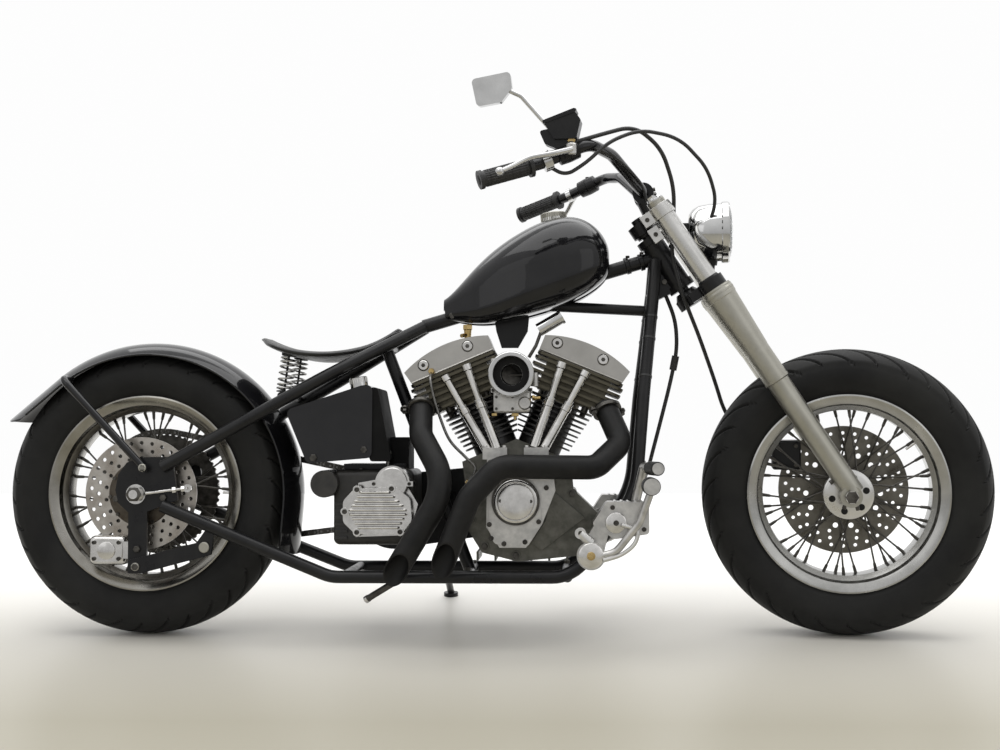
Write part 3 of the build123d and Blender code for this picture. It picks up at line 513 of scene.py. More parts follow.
def rounded(corners, radius, steps=4):
    """An outline of (x, y) corners with each corner turned into an arc."""
    out = []
    count = len(corners)
    for i, corner in enumerate(corners):
        p, a, b = Vector(corner), Vector(corners[i - 1]), Vector(corners[(i + 1) % count])
        ra, rb = (a - p), (b - p)
        r = radius[i] if isinstance(radius, (list, tuple)) else radius
        half = ra.angle(rb) / 2
        back = min(r / tan(half), ra.length * 0.48, rb.length * 0.48)
        start, end = p + ra.normalized() * back, p + rb.normalized() * back
        for k in range(steps + 1):
            t = k / steps
            q = start * (1 - t) ** 2 + p * 2 * t * (1 - t) + end * t ** 2
            out.append((q.x, q.y))
    return out


def smooth_line(points, steps=8):
    """A Catmull-Rom line through points."""
    points = [Vector(p) for p in points]
    padded = [points[0] * 2 - points[1], *points, points[-1] * 2 - points[-2]]
    line = []
    for a, b, c, d in zip(padded, padded[1:], padded[2:], padded[3:]):
        for k in range(steps):
            t = k / steps
            bend, twist = a * 2 - b * 5 + c * 4 - d, b * 3 - a - c * 3 + d
            line.append((b * 2 + (c - a) * t + bend * t ** 2 + twist * t ** 3) / 2)
    return [*line, points[-1]]


# Tyres


def circle_through(a, b, c):
    """Centre and radius of the circle through three (x, y) points."""
    (ax, ay), (bx, by), (cx, cy) = a, b, c
    d = 2 * (ax * (by - cy) + bx * (cy - ay) + cx * (ay - by))
    ux = ((ax**2 + ay**2) * (by - cy) + (bx**2 + by**2) * (cy - ay) + (cx**2 + cy**2) * (ay - by)) / d
    uy = ((ax**2 + ay**2) * (cx - bx) + (bx**2 + by**2) * (ax - cx) + (cx**2 + cy**2) * (bx - ax)) / d
    return (ux, uy), hypot(ax - ux, ay - uy)


def arc_points(a, b, c, count):
    """Evenly spaced points on the arc from a through b to c."""
    (x, y), radius = circle_through(a, b, c)
    turn = [atan2(p[1] - y, p[0] - x) for p in (a, b, c)]
    for i in (1, 2):
        turn[i] -= 2 * pi * round((turn[i] - turn[i - 1]) / (2 * pi))
    return [(x + radius * cos(turn[0] + (turn[2] - turn[0]) * i / count),
            y + radius * sin(turn[0] + (turn[2] - turn[0]) * i / count)) for i in range(count + 1)]


BEAD_RADIUS, FLANGE_RADIUS, SHOULDER_RADIUS, BULGE_RADIUS = 205.0, 222.5, 297.0, 262.0
BEAD_SIDE, SHOULDER_SIDE = 50.0, 0.88 * TYRE_HALF_WIDTH
RELIEF_CENTRE = 246.0  # radius of the point in the section that grooves are sunk towards
WALL_RINGS = ((228, 232, 1.1), (283, 288, -0.9))  # inner and outer radius, height
TREAD_STEPS = 960
TREAD_DEPTH = 4.5
WALL_SHARE = 60.0  # height of side wall that counts as one more half width of tread
GROOVE_BEND = 0.62  # below 1, a groove sweeps most near the middle of the tread
GROOVE_TAPER = (0.06, 0.16)  # share of half width over which a groove's start and end narrow
GROOVE_EDGE = 1.1
# grooves round the tyre, and the rows of them: where a groove starts and ends across the tread (share of half
# width), its sweep round the tyre in degrees, its half width, and its offset as a share of the pitch
GROOVES = {
    "front": (15, [(0.10, 1.10, 19.0, 2.9, 0.0), (0.34, 1.20, 21.5, 2.6, 0.5)]),
    "rear": (17, [(0.08, 1.06, 16.0, 2.9, 0.0), (0.34, 1.14, 17.9, 2.6, 0.5)]),
}


def tyre(which, centre, turn_sign):
    """A tyre with its tread grooves sunk into the crown and shoulders, and rings round its side walls."""
    shoulder = (-SHOULDER_SIDE, SHOULDER_RADIUS)
    wall = arc_points((-BEAD_SIDE, FLANGE_RADIUS), (-TYRE_HALF_WIDTH, BULGE_RADIUS), shoulder, 15)
    crown = arc_points(shoulder, (0, TYRE_RADIUS), (SHOULDER_SIDE, SHOULDER_RADIUS), 44)
    section = [(-BEAD_SIDE, BEAD_RADIUS), *wall, *crown[1:], *[(-y, r) for y, r in reversed(wall)][1:],
            (BEAD_SIDE, BEAD_RADIUS)]
    across, radii = np.array(section).T
    share = np.where(radii < SHOULDER_RADIUS, 1 + (SHOULDER_RADIUS - radii) / WALL_SHARE,
            np.abs(across) / SHOULDER_SIDE)
    turn = np.linspace(0, 2 * pi, TREAD_STEPS, endpoint=False)
    grid_turn, grid_share = np.meshgrid(turn, share, indexing="ij")
    count, rows = GROOVES[which]
    sunk = np.zeros_like(grid_turn)
    for start, end, sweep, width, offset in rows:
        along = np.clip((grid_share - start) / (end - start), 0, 1)
        line = turn_sign * radians(sweep) * along ** GROOVE_BEND + offset * 2 * pi / count
        line = line + np.where(across >= 0, pi / count, 0.0)[None, :]
        gap = (grid_turn - line + pi / count) % (2 * pi / count) - pi / count
        slope = GROOVE_BEND * np.maximum(along, 0.03) ** (GROOVE_BEND - 1)
        run = TYRE_RADIUS * radians(sweep) * slope / ((end - start) * SHOULDER_SIDE)
        ends = np.minimum((grid_share - start) / GROOVE_TAPER[0], (end - grid_share) / GROOVE_TAPER[1])
        half = width * np.sqrt(np.clip(ends, 0, 1))
        inside = np.clip((half - np.abs(gap) * TYRE_RADIUS / np.hypot(1, run)) / GROOVE_EDGE, 0, 1)
        sunk = np.maximum(sunk, inside * (grid_share > start) * (grid_share < end))
    raised = sum(np.where((radii > low) & (radii < high), height, 0.0) for low, high, height in WALL_RINGS)
    lift = raised[None, :] - sunk * TREAD_DEPTH
    length = np.hypot(across, radii - RELIEF_CENTRE)
    place_y = across[None, :] + across / length * lift
    place_r = radii[None, :] + (radii - RELIEF_CENTRE) / length * lift
    points = np.stack([centre.x + place_r * np.cos(grid_turn), centre.y + place_y,
            centre.z + place_r * np.sin(grid_turn)], axis=-1).reshape(-1, 3)
    wide = len(section)
    i, j = np.arange(TREAD_STEPS)[:, None], np.arange(wide)[None, :]
    following, beside = (i + 1) % TREAD_STEPS, (j + 1) % wide
    faces = np.stack([i * wide + j, i * wide + beside, following * wide + beside, following * wide + j],
            axis=-1)
    shape = Shape(which + "_tyre_treaded", "tyre_rubber", which + "_wheel", sharp=50)
    shape.points, shape.faces = points.tolist(), faces.reshape(-1, 4).tolist()
    shape.tones = [0] * len(shape.faces)
    shape.made(which + "_tyre")


# Wheels

# (side, radius) of the rim's section: rolled flanges, bead seats and a drop centre
RIM_HALF = [(57, 218), (55.5, 221.5), (52, 222.5), (50, 220), (50.5, 212), (48.5, 204.5), (34, 200.5),
        (26, 190), (0, 188), (0, 184.5), (24, 186), (32, 196.5), (48, 200), (54, 209)]
SPOKES = 40
SPOKE_LACE_DEG = 34.0
SPOKE_TIP, SPOKE_RADIUS, SPOKE_OFFSET = 187.0, 2.1, 2.6
# both ends of each part of a nipple, back from the spoke's tip, and its radius there
NIPPLE = [(17.0, 0.5, 3.3, 3.9), (19.5, 16.5, 2.5, 3.3)]


def wire_wheel(which, centre, rim_finish, hub_outline, flanges):
    """Rim, laced spokes with nipples, and the hub; flanges are (side, radius) where spokes leave the hub."""
    shape = Shape(which + "_wire_wheel", rim_finish, which + "_wheel", sharp=32)
    outer = RIM_HALF[:9]
    inner = RIM_HALF[9:]
    section = [(-s, r) for s, r in outer] + [(s, r) for s, r in reversed(outer[:-1])]
    section += [(s, r) for s, r in reversed(inner[1:])] + [(-s, r) for s, r in inner]
    shape.turned(section, centre, SIDEWAYS, 180, closed=True)
    shape.use("dark_steel")
    for side, radius in flanges:
        for i in range(SPOKES // 2):
            lace = SPOKE_LACE_DEG if i % 2 else -SPOKE_LACE_DEG
            foot_turn = radians(i * 720 / SPOKES + (9 if side > 0 else 0))
            tip_turn = foot_turn + radians(lace)
            outward = SPOKE_OFFSET if i % 2 else -SPOKE_OFFSET
            foot = centre + Vector((radius * cos(foot_turn), side + outward, radius * sin(foot_turn)))
            tip = centre + Vector((SPOKE_TIP * cos(tip_turn), side * 0.28, SPOKE_TIP * sin(tip_turn)))
            run = (tip - foot).normalized()
            shape.rod(foot, tip, SPOKE_RADIUS, segments=8)
            for low, high, low_radius, high_radius in NIPPLE:
                shape.rod(tip - run * low, tip - run * high, low_radius, high_radius, segments=8)
    shape.use("rim_aluminium")
    shape.turned(hub_outline, centre, SIDEWAYS, 64)
    shape.made(which + "_rim")


REAR_HUB = [(-70, 10.4), (-70, 32), (-56, 32), (-53, 34), (-52, 50), (-50, 51), (-45, 51), (-43, 48),
        (-41, 31), (-34, 27), (34, 27), (41, 32), (43, 52), (45, 54), (50, 54), (52, 52), (54, 33), (84, 32),
        (84, 10.4)]
FRONT_HUB = [(-66, 10.4), (-66, 26), (-64.5, 30), (-63, 52), (-61, 55), (-54, 55.5), (-51, 53), (-46, 42),
        (-38, 40), (-32, 26), (32, 26), (38, 44), (44, 45), (47, 43), (48, 30), (54, 30), (54, 10.4)]


def wheels():
    tyre("rear", REAR_AXLE, 1)
    tyre("front", FRONT_AXLE, -1)
    wire_wheel("rear", REAR_AXLE, "rim_steel", REAR_HUB, [(-48, 44), (48, 44)])
    wire_wheel("front", FRONT_AXLE, "rim_silver", FRONT_HUB, [(-42, 38), (42, 38)])


def helix(foot, top, radius, turns, per_turn=18):
    """Points of a coil between two points, with its end turns closed up."""
    foot, top = Vector(foot), Vector(top)
    u, v = frame_across(top - foot)
    count = int(turns * per_turn)
    out = []
    for i in range(count + 1):
        share = i / count
        climb = share - 0.055 * sin(2 * pi * share)
        turn = 2 * pi * turns * share
        out.append(foot + (top - foot) * climb + (u * cos(turn) + v * sin(turn)) * radius)
    return out


# Engine

ROCKER_PLUGS = [(637, 610), (737, 653), (940, 659), (1043, 621)]
# each pushrod tube's (x, z) at its top and its foot
PUSHRODS = [((688, 584), (792, 404)), ((736, 609), (812, 406)), ((952, 613), (882, 409)),
        ((1004, 593), (903, 408))]
FRONT_BANK, REAR_BANK = 1, -1


def bank_point(bank, across, along, side):
    """A point in a cylinder's own frame: across away from the vee, along the bore."""
    t = radians(BANK_DEG)
    outward, bore = Vector((bank * cos(t), 0, -sin(t))), Vector((bank * sin(t), 0, cos(t)))
    return CRANK + outward * across + bore * along + SIDEWAYS * side


def rocker_trim():
    rocker = Shape("rocker_trim", "rocker_grey", sharp=30)
    for x, z in ROCKER_PLUGS:
        for sign, out in SIDES:
            at = Vector((x, sign * 56, z))
            rocker.use("dark_steel")
            rocker.turned([(-1, 13.2), (0.8, 13.2), (0.8, 9)], at, out, 32)
            rocker.turned([(4.6, 5.0), (5.0, 5.0), (5.0, 0.2)], at, out, 6)
            rocker.use("polished")
            rocker.turned([(0.6, 11.2), (3.6, 11.2), (4.6, 10), (4.7, 0.4)], at, out, 32)
    for bank in (FRONT_BANK, REAR_BANK):
        for sign, out in SIDES:
            rocker.use("rocker_grey")
            rocker.tube([bank_point(bank, across, 333.5, sign * 57.5) for across in (-80, 0, 60, 118)], 2.6,
                    8)
            rocker.use("dark_steel")
            for across in (-66, -20, 26, 72, 108):
                rocker.hexagon(bank_point(bank, across, 326.5, sign * 57.5 * 0.93), out, 9, 5)
    rocker.made()


# (share of the length, radius) up a pushrod tube: foot nut, lower tube, joint, upper tube
PUSHROD_TUBE = [(0, 13.5), (0.05, 13.5), (0.055, 11.2), (0.07, 10.6), (0.52, 10.6), (0.525, 12.6),
        (0.575, 12.6), (0.58, 10.8), (0.62, 10.8), (0.622, 8.4), (0.93, 8.4), (0.94, 11), (1.0, 11)]


def pushrods():
    tubes = Shape("pushrod_tubes_telescoping", "polished", sharp=40)
    for (top_x, top_z), (foot_x, foot_z) in PUSHRODS:
        a, b = Vector((foot_x, -108, foot_z)), Vector((top_x, -91, top_z))
        tubes.use("polished")
        tubes.stepped(a, b, PUSHROD_TUBE, 28)
        for finish_name, low, high, radius in (("chrome", 0.60, 0.615, 11.8),
                ("dark_steel", 0.065, 0.08, 11.9)):
            tubes.use(finish_name)
            tubes.rod(a + (b - a) * low, a + (b - a) * high, radius, segments=24)
    tubes.made("pushrod_tubes")


def cam_chest_trim():
    cam = Shape("cam_chest_trim", "cast", bevel=1.2)
    lobe = rounded([(790, 300), (786, 252), (800, 214), (836, 206), (874, 208), (903, 252), (905, 300)], 14)
    cam.plate(lobe, -131.2, 3.4)
    cam.plate(rounded([(786, 402), (924, 402), (930, 352), (786, 352)], 10), -131.2, 3.4)
    for x in (802, 893):
        cam.block((x - 27, -127, 398), (x + 27, -90, 424))
        for dx in (-21, 21):
            cam.hexagon((x + dx, -120, 424), UP, 9, 5, 2.6)
    cam.use("polished")
    cam.turned([(0, 47.5), (3.0, 47.5), (4.0, 46), (4.0, 41.5), (2.6, 41), (2.6, 40), (4.6, 39.5), (5.4, 36),
            (5.8, 20), (5.9, 0.4)], (848, -141.5, 307), OUT_RIGHT, 64)
    cam.use("dark_steel")
    cam.turned([(0, 48.0), (2.6, 48.0), (2.6, 52.0), (0, 53.0)], (848, -141.0, 307), OUT_RIGHT, 64)
    for x, z in ((815, 308), (881, 307)):
        cam.turned([(0, 4.2), (1.2, 4.2), (1.2, 0.3)], (x, -145.8, z), OUT_RIGHT, 20)
    cam.bolts([(790, 256), (794, 226), (822, 214), (868, 218), (898, 262), (915, 336), (915, 392),
            (792, 392)], -131, OUT_RIGHT, 11, 6.5, 3.0)
    cam.use("engine_grey")
    cam.plate([(926, 330), (1000, 268), (904, 196), (880, 212), (912, 262)], -83, 12)
    cam.made()


def crankcase_trim():
    case = Shape("crankcase_trim", "engine_grey", bevel=1.0)
    for x, z in ((742, 318), (744, 262), (776, 204), (846, 184), (1000, 196), (1030, 262), (972, 322)):
        case.use("engine_grey")
        case.rod((x, -76, z), (x, 76, z), 11, segments=20)
        case.use("dark_steel")
        for sign, out in SIDES:
            case.hexagon((x, sign * 76, z), out, 14, 7)
    case.use("engine_grey")
    for x in (760, 800, 840, 880, 920, 960):
        case.block((x - 2.5, -70, 172), (x + 2.5, 70, 192))
    case.made()


def head_trim():
    """Head bolts and spark plugs."""
    heads = Shape("head_trim", "dark_steel", sharp=40)
    for bank in (FRONT_BANK, REAR_BANK):
        heads.use("dark_steel")
        down = bank_point(bank, 0, -1, 0) - CRANK
        for side in (-46, 46):
            for across in (-28, 64):
                foot = bank_point(bank, across, 236, side)
                heads.rod(foot, bank_point(bank, across, 252, side), 8)
                heads.hexagon(foot, down, 13, 8)
        heads.use("brass")
        plug = bank_point(bank, 18, 268, 74)
        out = Vector((0, 0.88, 0.47))
        heads.hexagon(plug, out, 20, 10)
        heads.use("lamp_white")
        heads.rod(plug + out * 9, plug + out * 34, 6.5, 5.2)
        heads.use("fin_black")
        heads.rod(plug + out * 26, plug + out * 58, 9, 7.5)
    heads.made()


def carburettor_trim():
    carb = Shape("carburettor_trim", "cast")
    ring = Vector((839, -150, 585))
    carb.use("chrome")
    carb.turned([(0.4, 39.6), (1.6, 40.4), (1.8, 47.6), (0.4, 49.6), (-1.4, 50.4), (-1.4, 49.6), (0.2, 48.8),
            (1.0, 47.2), (0.9, 40.8), (-0.4, 39.6)], ring, OUT_RIGHT, 72, closed=True)
    carb.use("black_matt")
    for outline, segments in (([(-27.6, 39.4), (-1.4, 39.4), (-1.4, 38.9), (-27.0, 38.9)], 48),
            ([(-27.8, 39.0), (-26.6, 39.0), (-26.6, 24.2), (-27.8, 24.2)], 48),
            ([(-60, 23.8), (-28, 23.8), (-28, 23.2), (-60, 23.2)], 40)):
        carb.turned(outline, ring, OUT_RIGHT, segments, closed=True)
    carb.turned([(-58, 23.4), (-57, 23.4), (-57, 0.3)], ring, OUT_RIGHT, 32)
    carb.use("dark_steel")
    carb.turned([(-1.0, 22.6), (1.0, 22.6), (1.0, 0.3)], ring + Vector((0, 52, 0)), Vector((0.25, -1, 0.3)),
            40)
    carb.rod(ring + Vector((-23, 52, 0)), ring + Vector((23, 52, 0)), 3)
    carb.use("cast")
    carb.block((793, -115, 546), (885, -112, 556))
    carb.block((800, -116, 505), (846, -112, 541))
    carb.rod((868, -112, 522), (868, -120, 522), 15, 12, 24)
    carb.rod((890, -100, 560), (890, -100, 590), 9, 8)
    carb.rod((800, -98, 596), (800, -98, 622), 10, 8)
    carb.use("brass")
    carb.hexagon((846, -96, 500), (0, 0, -1), 15, 7)
    carb.rod((846, -96, 494), (846, -96, 486), 4, 3.4)
    carb.hexagon((800, -104, 500), (0, 0, -1), 11, 6)
    carb.rod((884, -98, 534), (902, -98, 534), 4.6, 3.8)
    carb.hexagon((884, -98, 534), (1, 0, 0), 12, 6)
    carb.use("dark_steel")
    carb.bolts([(798, 551), (880, 551)], -115, OUT_RIGHT, 8, 4, 2)
    carb.bolts([(805, 510), (841, 510), (805, 536), (841, 536)], -116, OUT_RIGHT, 6.4, 3, 1.6)
    carb.use("chrome")
    carb.rod((898, -60, 688), (946, -60, 716), 15, 15, 28)
    carb.rod((946, -60, 716), (951, -60, 719), 17, 17, 28)
    carb.use("dark_steel")
    carb.tube([(876, -70, 626), (892, -70, 652), (906, -66, 690)], 4, 10)
    carb.made()


def oil_pipe():
    lines = Shape("oil_pipe", "spring_steel", sharp=40)
    lines.tube(smooth_line([(656, -70, 592), (657, -99, 576), (664, -101, 540), (680, -101, 488),
            (701, -102, 440), (734, -106, 405), (757, -110, 381), (752, -112, 362), (744, -106, 350),
            (740, -70, 346)], 6), 3.2, 10)
    lines.use("brass")
    lines.hexagon((656, -58, 596), OUT_RIGHT, 13, 14)
    lines.hexagon((740, -71, 346), OUT_RIGHT, 13, 12)
    lines.made()


def span(outline, level):
    """Where a level line enters and leaves an outline of (x, z) corners."""
    hits = []
    for (ax, az), (bx, bz) in zip(outline, outline[1:] + outline[:1]):
        if (az - level) * (bz - level) < 0:
            hits.append(ax + (bx - ax) * (level - az) / (bz - az))
    return min(hits), max(hits)


GEARBOX_COVER = [(475, 284), (501, 328), (574, 334), (608, 300), (620, 284), (597, 243), (501, 243)]
GEARBOX_BOLTS = [(577, 335), (596, 241), (501, 240), (474, 285), (501, 333)]


def gearbox_trim():
    cover = Shape("gearbox_trim", "polished", bevel=1.0, sharp=30)
    cover.plate(rounded([(470, 262), (470, 308), (494, 334), (586, 340), (618, 312), (622, 266), (600, 236),
            (497, 236)], 18), -151.6, 8)
    for i in range(9):
        z = 250 + i * 9.6
        low, high = span(GEARBOX_COVER, z)
        cover.tube([(low + 7, -151, z), (low + 10, -153.4, z), (high - 10, -153.4, z), (high - 7, -151, z)],
                3.0, 10)
    for x, z in GEARBOX_BOLTS:
        cover.rod((x, -140, z), (x, -153, z), 10, 9, 24)
    cover.use("dark_steel")
    cover.bolts(GEARBOX_BOLTS, -153, OUT_RIGHT, 11, 4, 3.2)
    cover.bolts([(538, 345.5), (616, 345.5)], -152, OUT_RIGHT, 8, 4, 2)
    cover.use("polished")
    cover.turned([(0, 34), (2.5, 34), (3.5, 32.5), (3.5, 0.3)], (578, -146, 347), OUT_RIGHT, 48)
    cover.use("spring_steel")
    cover.rod((563, -96, 376), (563, -96, 408), 3.4)
    cover.washer((563, -96, 413), OUT_RIGHT, 3, 6.5, 3, 20)
    cover.use("fin_black")
    for i in range(6):
        cover.block((446, -112, 222 + 15 * i), (474, -107, 228 + 15 * i))
    cover.made()


def gearbox_lid():
    lid = Shape("gearbox_lid", "black_satin", bevel=2.0, sharp=32)
    lid.block((440, -92, 352), (612, 80, 374))
    lid.block((458, -66, 372), (598, 60, 388))
    lid.use("dark_steel")
    for x in (450, 500, 550, 602):
        lid.hexagon((x, -84, 374), UP, 10, 5, 2.4)
    lid.made()


def primary_trim():
    primary = Shape("primary_trim", "black_satin", sharp=30)
    for centre, radius in ((Vector((551, 172, 272)), 52), (Vector((848, 172, 307)), 44)):
        primary.use("polished")
        primary.turned([(0, radius), (3, radius), (5, radius - 3), (5.5, radius - 12), (5.5, 0.3)], centre,
                OUT_LEFT, 56)
        primary.use("dark_steel")
        primary.bolt_ring(centre + OUT_LEFT * 5, OUT_LEFT, radius - 7, 5, 9, 4, 18, 2.2)
    for x in range(560, 833, 68):
        primary.bolts([(x, 348 + 0.09 * (x - 551)), (x, 196 + 0.145 * (x - 551))], 170, OUT_LEFT, 9, 5, 2.4)
    primary.made()


def exhaust_trim():
    shape = Shape("exhaust_trim", "dark_steel")
    for foot, towards in (((1046, -70, 516), (1080, -124, 434)), ((634, -72, 520), (640, -140, 452))):
        foot = Vector(foot)
        run = (Vector(towards) - foot).normalized()
        shape.use("dark_steel")
        shape.turned([(8, 26.4), (8, 33), (16, 33), (17, 31), (17, 26.4)], foot, run, 40, closed=True)
        across = frame_across(run)[0]
        for sign in (LEFT, RIGHT):
            at = foot + across * sign * 37 + run * 4
            shape.rod(at, at + run * 18, 3.6)
            shape.hexagon(at + run * 12, run, 12, 8)
            shape.turned([(8, 10), (12, 10)], at, run, 20)
    shape.made()


# Seat, springs and tank

SEAT_REAR, SEAT_FRONT = 266.0, 574.0
SEAT_TIPS = (262, 584)
PAD_RISE, PAD_DROP = 10.0, 8.6
# (x, half width) of the seat in plan
SEAT_PLAN = [(262, 6), (268, 48), (284, 86), (306, 112), (335, 127), (372, 128), (410, 117), (450, 94),
        (480, 70), (505, 48), (535, 37), (565, 28), (578, 18), (584, 5)]


def seat_line(x):
    """Height of the seat's middle, an arc through three points."""
    (cx, cz), radius = circle_through((SEAT_REAR, 672), (410, 633), (SEAT_FRONT, 690))
    return cz - (radius ** 2 - (min(max(x, SEAT_REAR), SEAT_FRONT) - cx) ** 2) ** 0.5


def seat_half(x):
    """Half width of the seat in plan."""
    for (xa, wa), (xb, wb) in zip(SEAT_PLAN, SEAT_PLAN[1:]):
        if xa <= x <= xb:
            return wa + (wb - wa) * (x - xa) / (xb - xa)
    return 5


def seat():
    shape = Shape("seat_padded", "leather", sharp=60)
    rings = []
    stations = [262.5, 264, 267, 272, 280, 292, *range(306, 566, 10), 568, 574, 579, 582, 583.6]
    for x in stations:
        half, rise = seat_half(x), seat_line(x)
        end = min(1.0, ((x - SEAT_TIPS[0]) / 18 + 0.05) ** 0.5, ((SEAT_TIPS[1] - x) / 14 + 0.05) ** 0.5)
        ring = []
        for i in range(40):
            turn = 2 * pi * i / 40
            c, t = cos(turn), sin(turn)
            y = half * (1 if c > 0 else -1) * abs(c) ** 0.5
            puff = 1 - 0.35 * abs(y / half) ** 4
            z = (PAD_RISE * puff if t > 0 else -PAD_DROP) * abs(t) ** 0.55 * end
            tuck = 1.1 * cos(y / half * 2.2 * pi) if t > 0 and half > 60 else 0
            ring.append(Vector((x, y, rise + z + (tuck - 1.0) * end * max(0, t) ** 2 * 0.8)))
        rings.append(ring)
    shape.rings(rings)
    shape.made("seat")


def seat_pan_trim():
    trim = Shape("seat_pan_trim", "hose", sharp=45)
    marks = [264, 268, 276, 290, 306, 335, 372, 410, 450, 480, 505, 535, 565, 580]
    loop = smooth_line([(x, seat_half(x) + 0.6, seat_line(x)) for x in marks], 5)
    trim.tube([*loop, *[Vector((p.x, -p.y, p.z)) for p in reversed(loop)]], 2.3, 8, closed=True)
    trim.made()


def seat_springs():
    mounts = Shape("seat_springs", "spring_bright", sharp=40)
    for side in (-70, 70):
        foot, top = Vector((322, side, 549)), Vector((334, side, 636))
        axis = (top - foot).normalized()
        mounts.use("spring_bright")
        mounts.tube(helix(foot + axis * 7, top - axis * 8, 16.4, 6.5), 2.3, 9)
        mounts.use("black_satin")
        mounts.turned([(0, 17.3), (3, 17.3), (4, 12), (5, 10)], foot, axis, 28)
        mounts.turned([(0, 10), (1, 16), (4, 17.3), (9, 17.3)], top - axis * 6, axis, 28)
        mounts.rod(foot, top, 2.6)
        mounts.use("dark_steel")
        mounts.hexagon(foot - axis * 1, -axis, 14, 6)
    mounts.use("polished")
    mounts.block((580, -14, 678), (600, 14, 691))
    mounts.rod((594, -30, 684), (594, 30, 684), 7, segments=24)
    for sign, out in SIDES:
        mounts.hexagon((594, sign * 30, 684), out, 15, 6)
    mounts.made("seat_mounts")


def backbone(x):
    """Height of the frame's top tube."""
    return 702 + (857 - 702) * (x - 632) / (1165 - 632)


def tank_trim():
    tank = Shape("tank_trim", "champagne")
    foot, up = Vector((936, 0, 918)), Vector((-0.1, 0, 1)).normalized()
    tank.ribbed(foot, up, 26.6, 43.4, 29.2, 36, 1.1)
    tank.turned([(33, 28.6), (44, 28.6), (45.4, 27), (46, 24), (46, 15), (45, 14), (45, 0.3)], foot, up, 48)
    tank.use("black_gloss")
    tank.turned([(20, 24.2), (24.5, 30), (25.8, 31.5), (24.0, 32.6), (18, 33.6)], foot, up, 48)
    tank.use("brass")
    tank.hexagon((735, -20, 704), (0, 0, -1), 20, 12)
    tank.rod((735, -20, 694), (735, -20, 668), 9, 7)
    tank.rod((735, -20, 682), (722, -38, 678), 4.5)
    tank.use("dark_steel")
    for x, rise in ((700, 3), (1040, 2)):
        for sign, out in SIDES:
            tank.hexagon((x, sign * 26.4, backbone(x) + rise), out, 13, 7)
    tank.made()


# Chain, discs and hubs

CHAIN_PITCH = 15.875
REAR_PITCH, FRONT_PITCH = 141.5, 58.0
FRONT_SPROCKET = Vector((505, 0, 300))
LINK_END_RADIUS, LINK_THICK = 6.8, 1.7
OUTER_LINK, INNER_LINK = 8.2, 6.2  # to each side of the chain's plane


def chain_path(pitch):
    """Points evenly along the pitch line round both sprockets."""
    span_x, span_z = FRONT_SPROCKET.x, FRONT_SPROCKET.z - TYRE_RADIUS
    length = hypot(span_x, span_z)
    tilt = atan2(span_z, span_x)
    lean = atan2(REAR_PITCH - FRONT_PITCH, length)
    up, down = tilt + pi / 2 - lean, tilt - pi / 2 + lean
    line = []
    steps = 240
    for centre, radius, start, sweep, count in ((REAR_AXLE, REAR_PITCH, up, 2 * pi - (up - down), steps),
            (FRONT_SPROCKET, FRONT_PITCH, down, up - down, steps + 1)):
        turns = (start + sweep * i / steps for i in range(count))
        line += [centre + Vector((cos(turn), 0, sin(turn))) * radius for turn in turns]
    line.append(line[0])
    total = sum((b - a).length for a, b in zip(line, line[1:]))
    count = round(total / pitch / 2) * 2
    out, done, goal = [], 0.0, 0.0
    for a, b in zip(line, line[1:]):
        run = (b - a).length
        while run and done + run >= goal and len(out) < count:
            out.append(a + (b - a) * ((goal - done) / run))
            goal += total / count
        done += run
    return out


def chain_links():
    shape = Shape("chain_links", "dark_steel", sharp=40)
    pins = chain_path(CHAIN_PITCH)
    for i, pin in enumerate(pins):
        after = pins[(i + 1) % len(pins)]
        run = (after - pin).normalized()
        rise = Vector((-run.z, 0, run.x))
        outer = i % 2 == 0
        outline = []
        for end, sign in ((after, 1), (pin, -1)):
            for k in range(-2, 3):
                turn = radians(38 * k)
                outline.append(end + (run * cos(turn) + rise * sin(turn)) * (sign * LINK_END_RADIUS))
        for side in (-1, 1):
            shape.use("dark_steel" if outer else "spring_steel")
            offset = CHAIN_PLANE + side * (OUTER_LINK if outer else INNER_LINK) - (0.9 if side < 0 else 0)
            low = [Vector((q.x, offset, q.z)) for q in outline]
            shape.rings([low, [q + SIDEWAYS * LINK_THICK for q in low]])
        shape.use("spring_steel")
        for low, high, radius, segments in ((-10.2, 11, 2.6, 8), (-4.6, 4.6, 5.0, 10)):
            shape.rod(pin + SIDEWAYS * (CHAIN_PLANE + low), pin + SIDEWAYS * (CHAIN_PLANE + high), radius,
                    segments=segments)
    shape.made("chain")


def rear_hub_trim():
    rear = Shape("rear_hub_trim", "carrier_brown", "rear_wheel", sharp=32)
    at = REAR_AXLE + OUT_RIGHT * 80.5
    rear.turned([(0, 33), (0, 73), (3.5, 71), (4.5, 66), (4.5, 33)], at, OUT_RIGHT, 72, closed=True)
    rear.use("dark_steel")
    rear.bolt_ring(at + OUT_RIGHT * 4.4, OUT_RIGHT, 56, 5, 13, 7, 12)
    rear.bolt_ring(at + OUT_RIGHT * 2.5, OUT_RIGHT, 69, 10, 8, 4.4, 6)
    rear.use("polished")
    rear.bolt_ring(REAR_AXLE + OUT_LEFT * (CHAIN_PLANE + 3.2), OUT_LEFT, 56, 6, 14, 8, 10)
    rear.rod(Vector((198, -20, 322)), Vector((172, -20, 322)), 3.0, 2.6)
    rear.made()


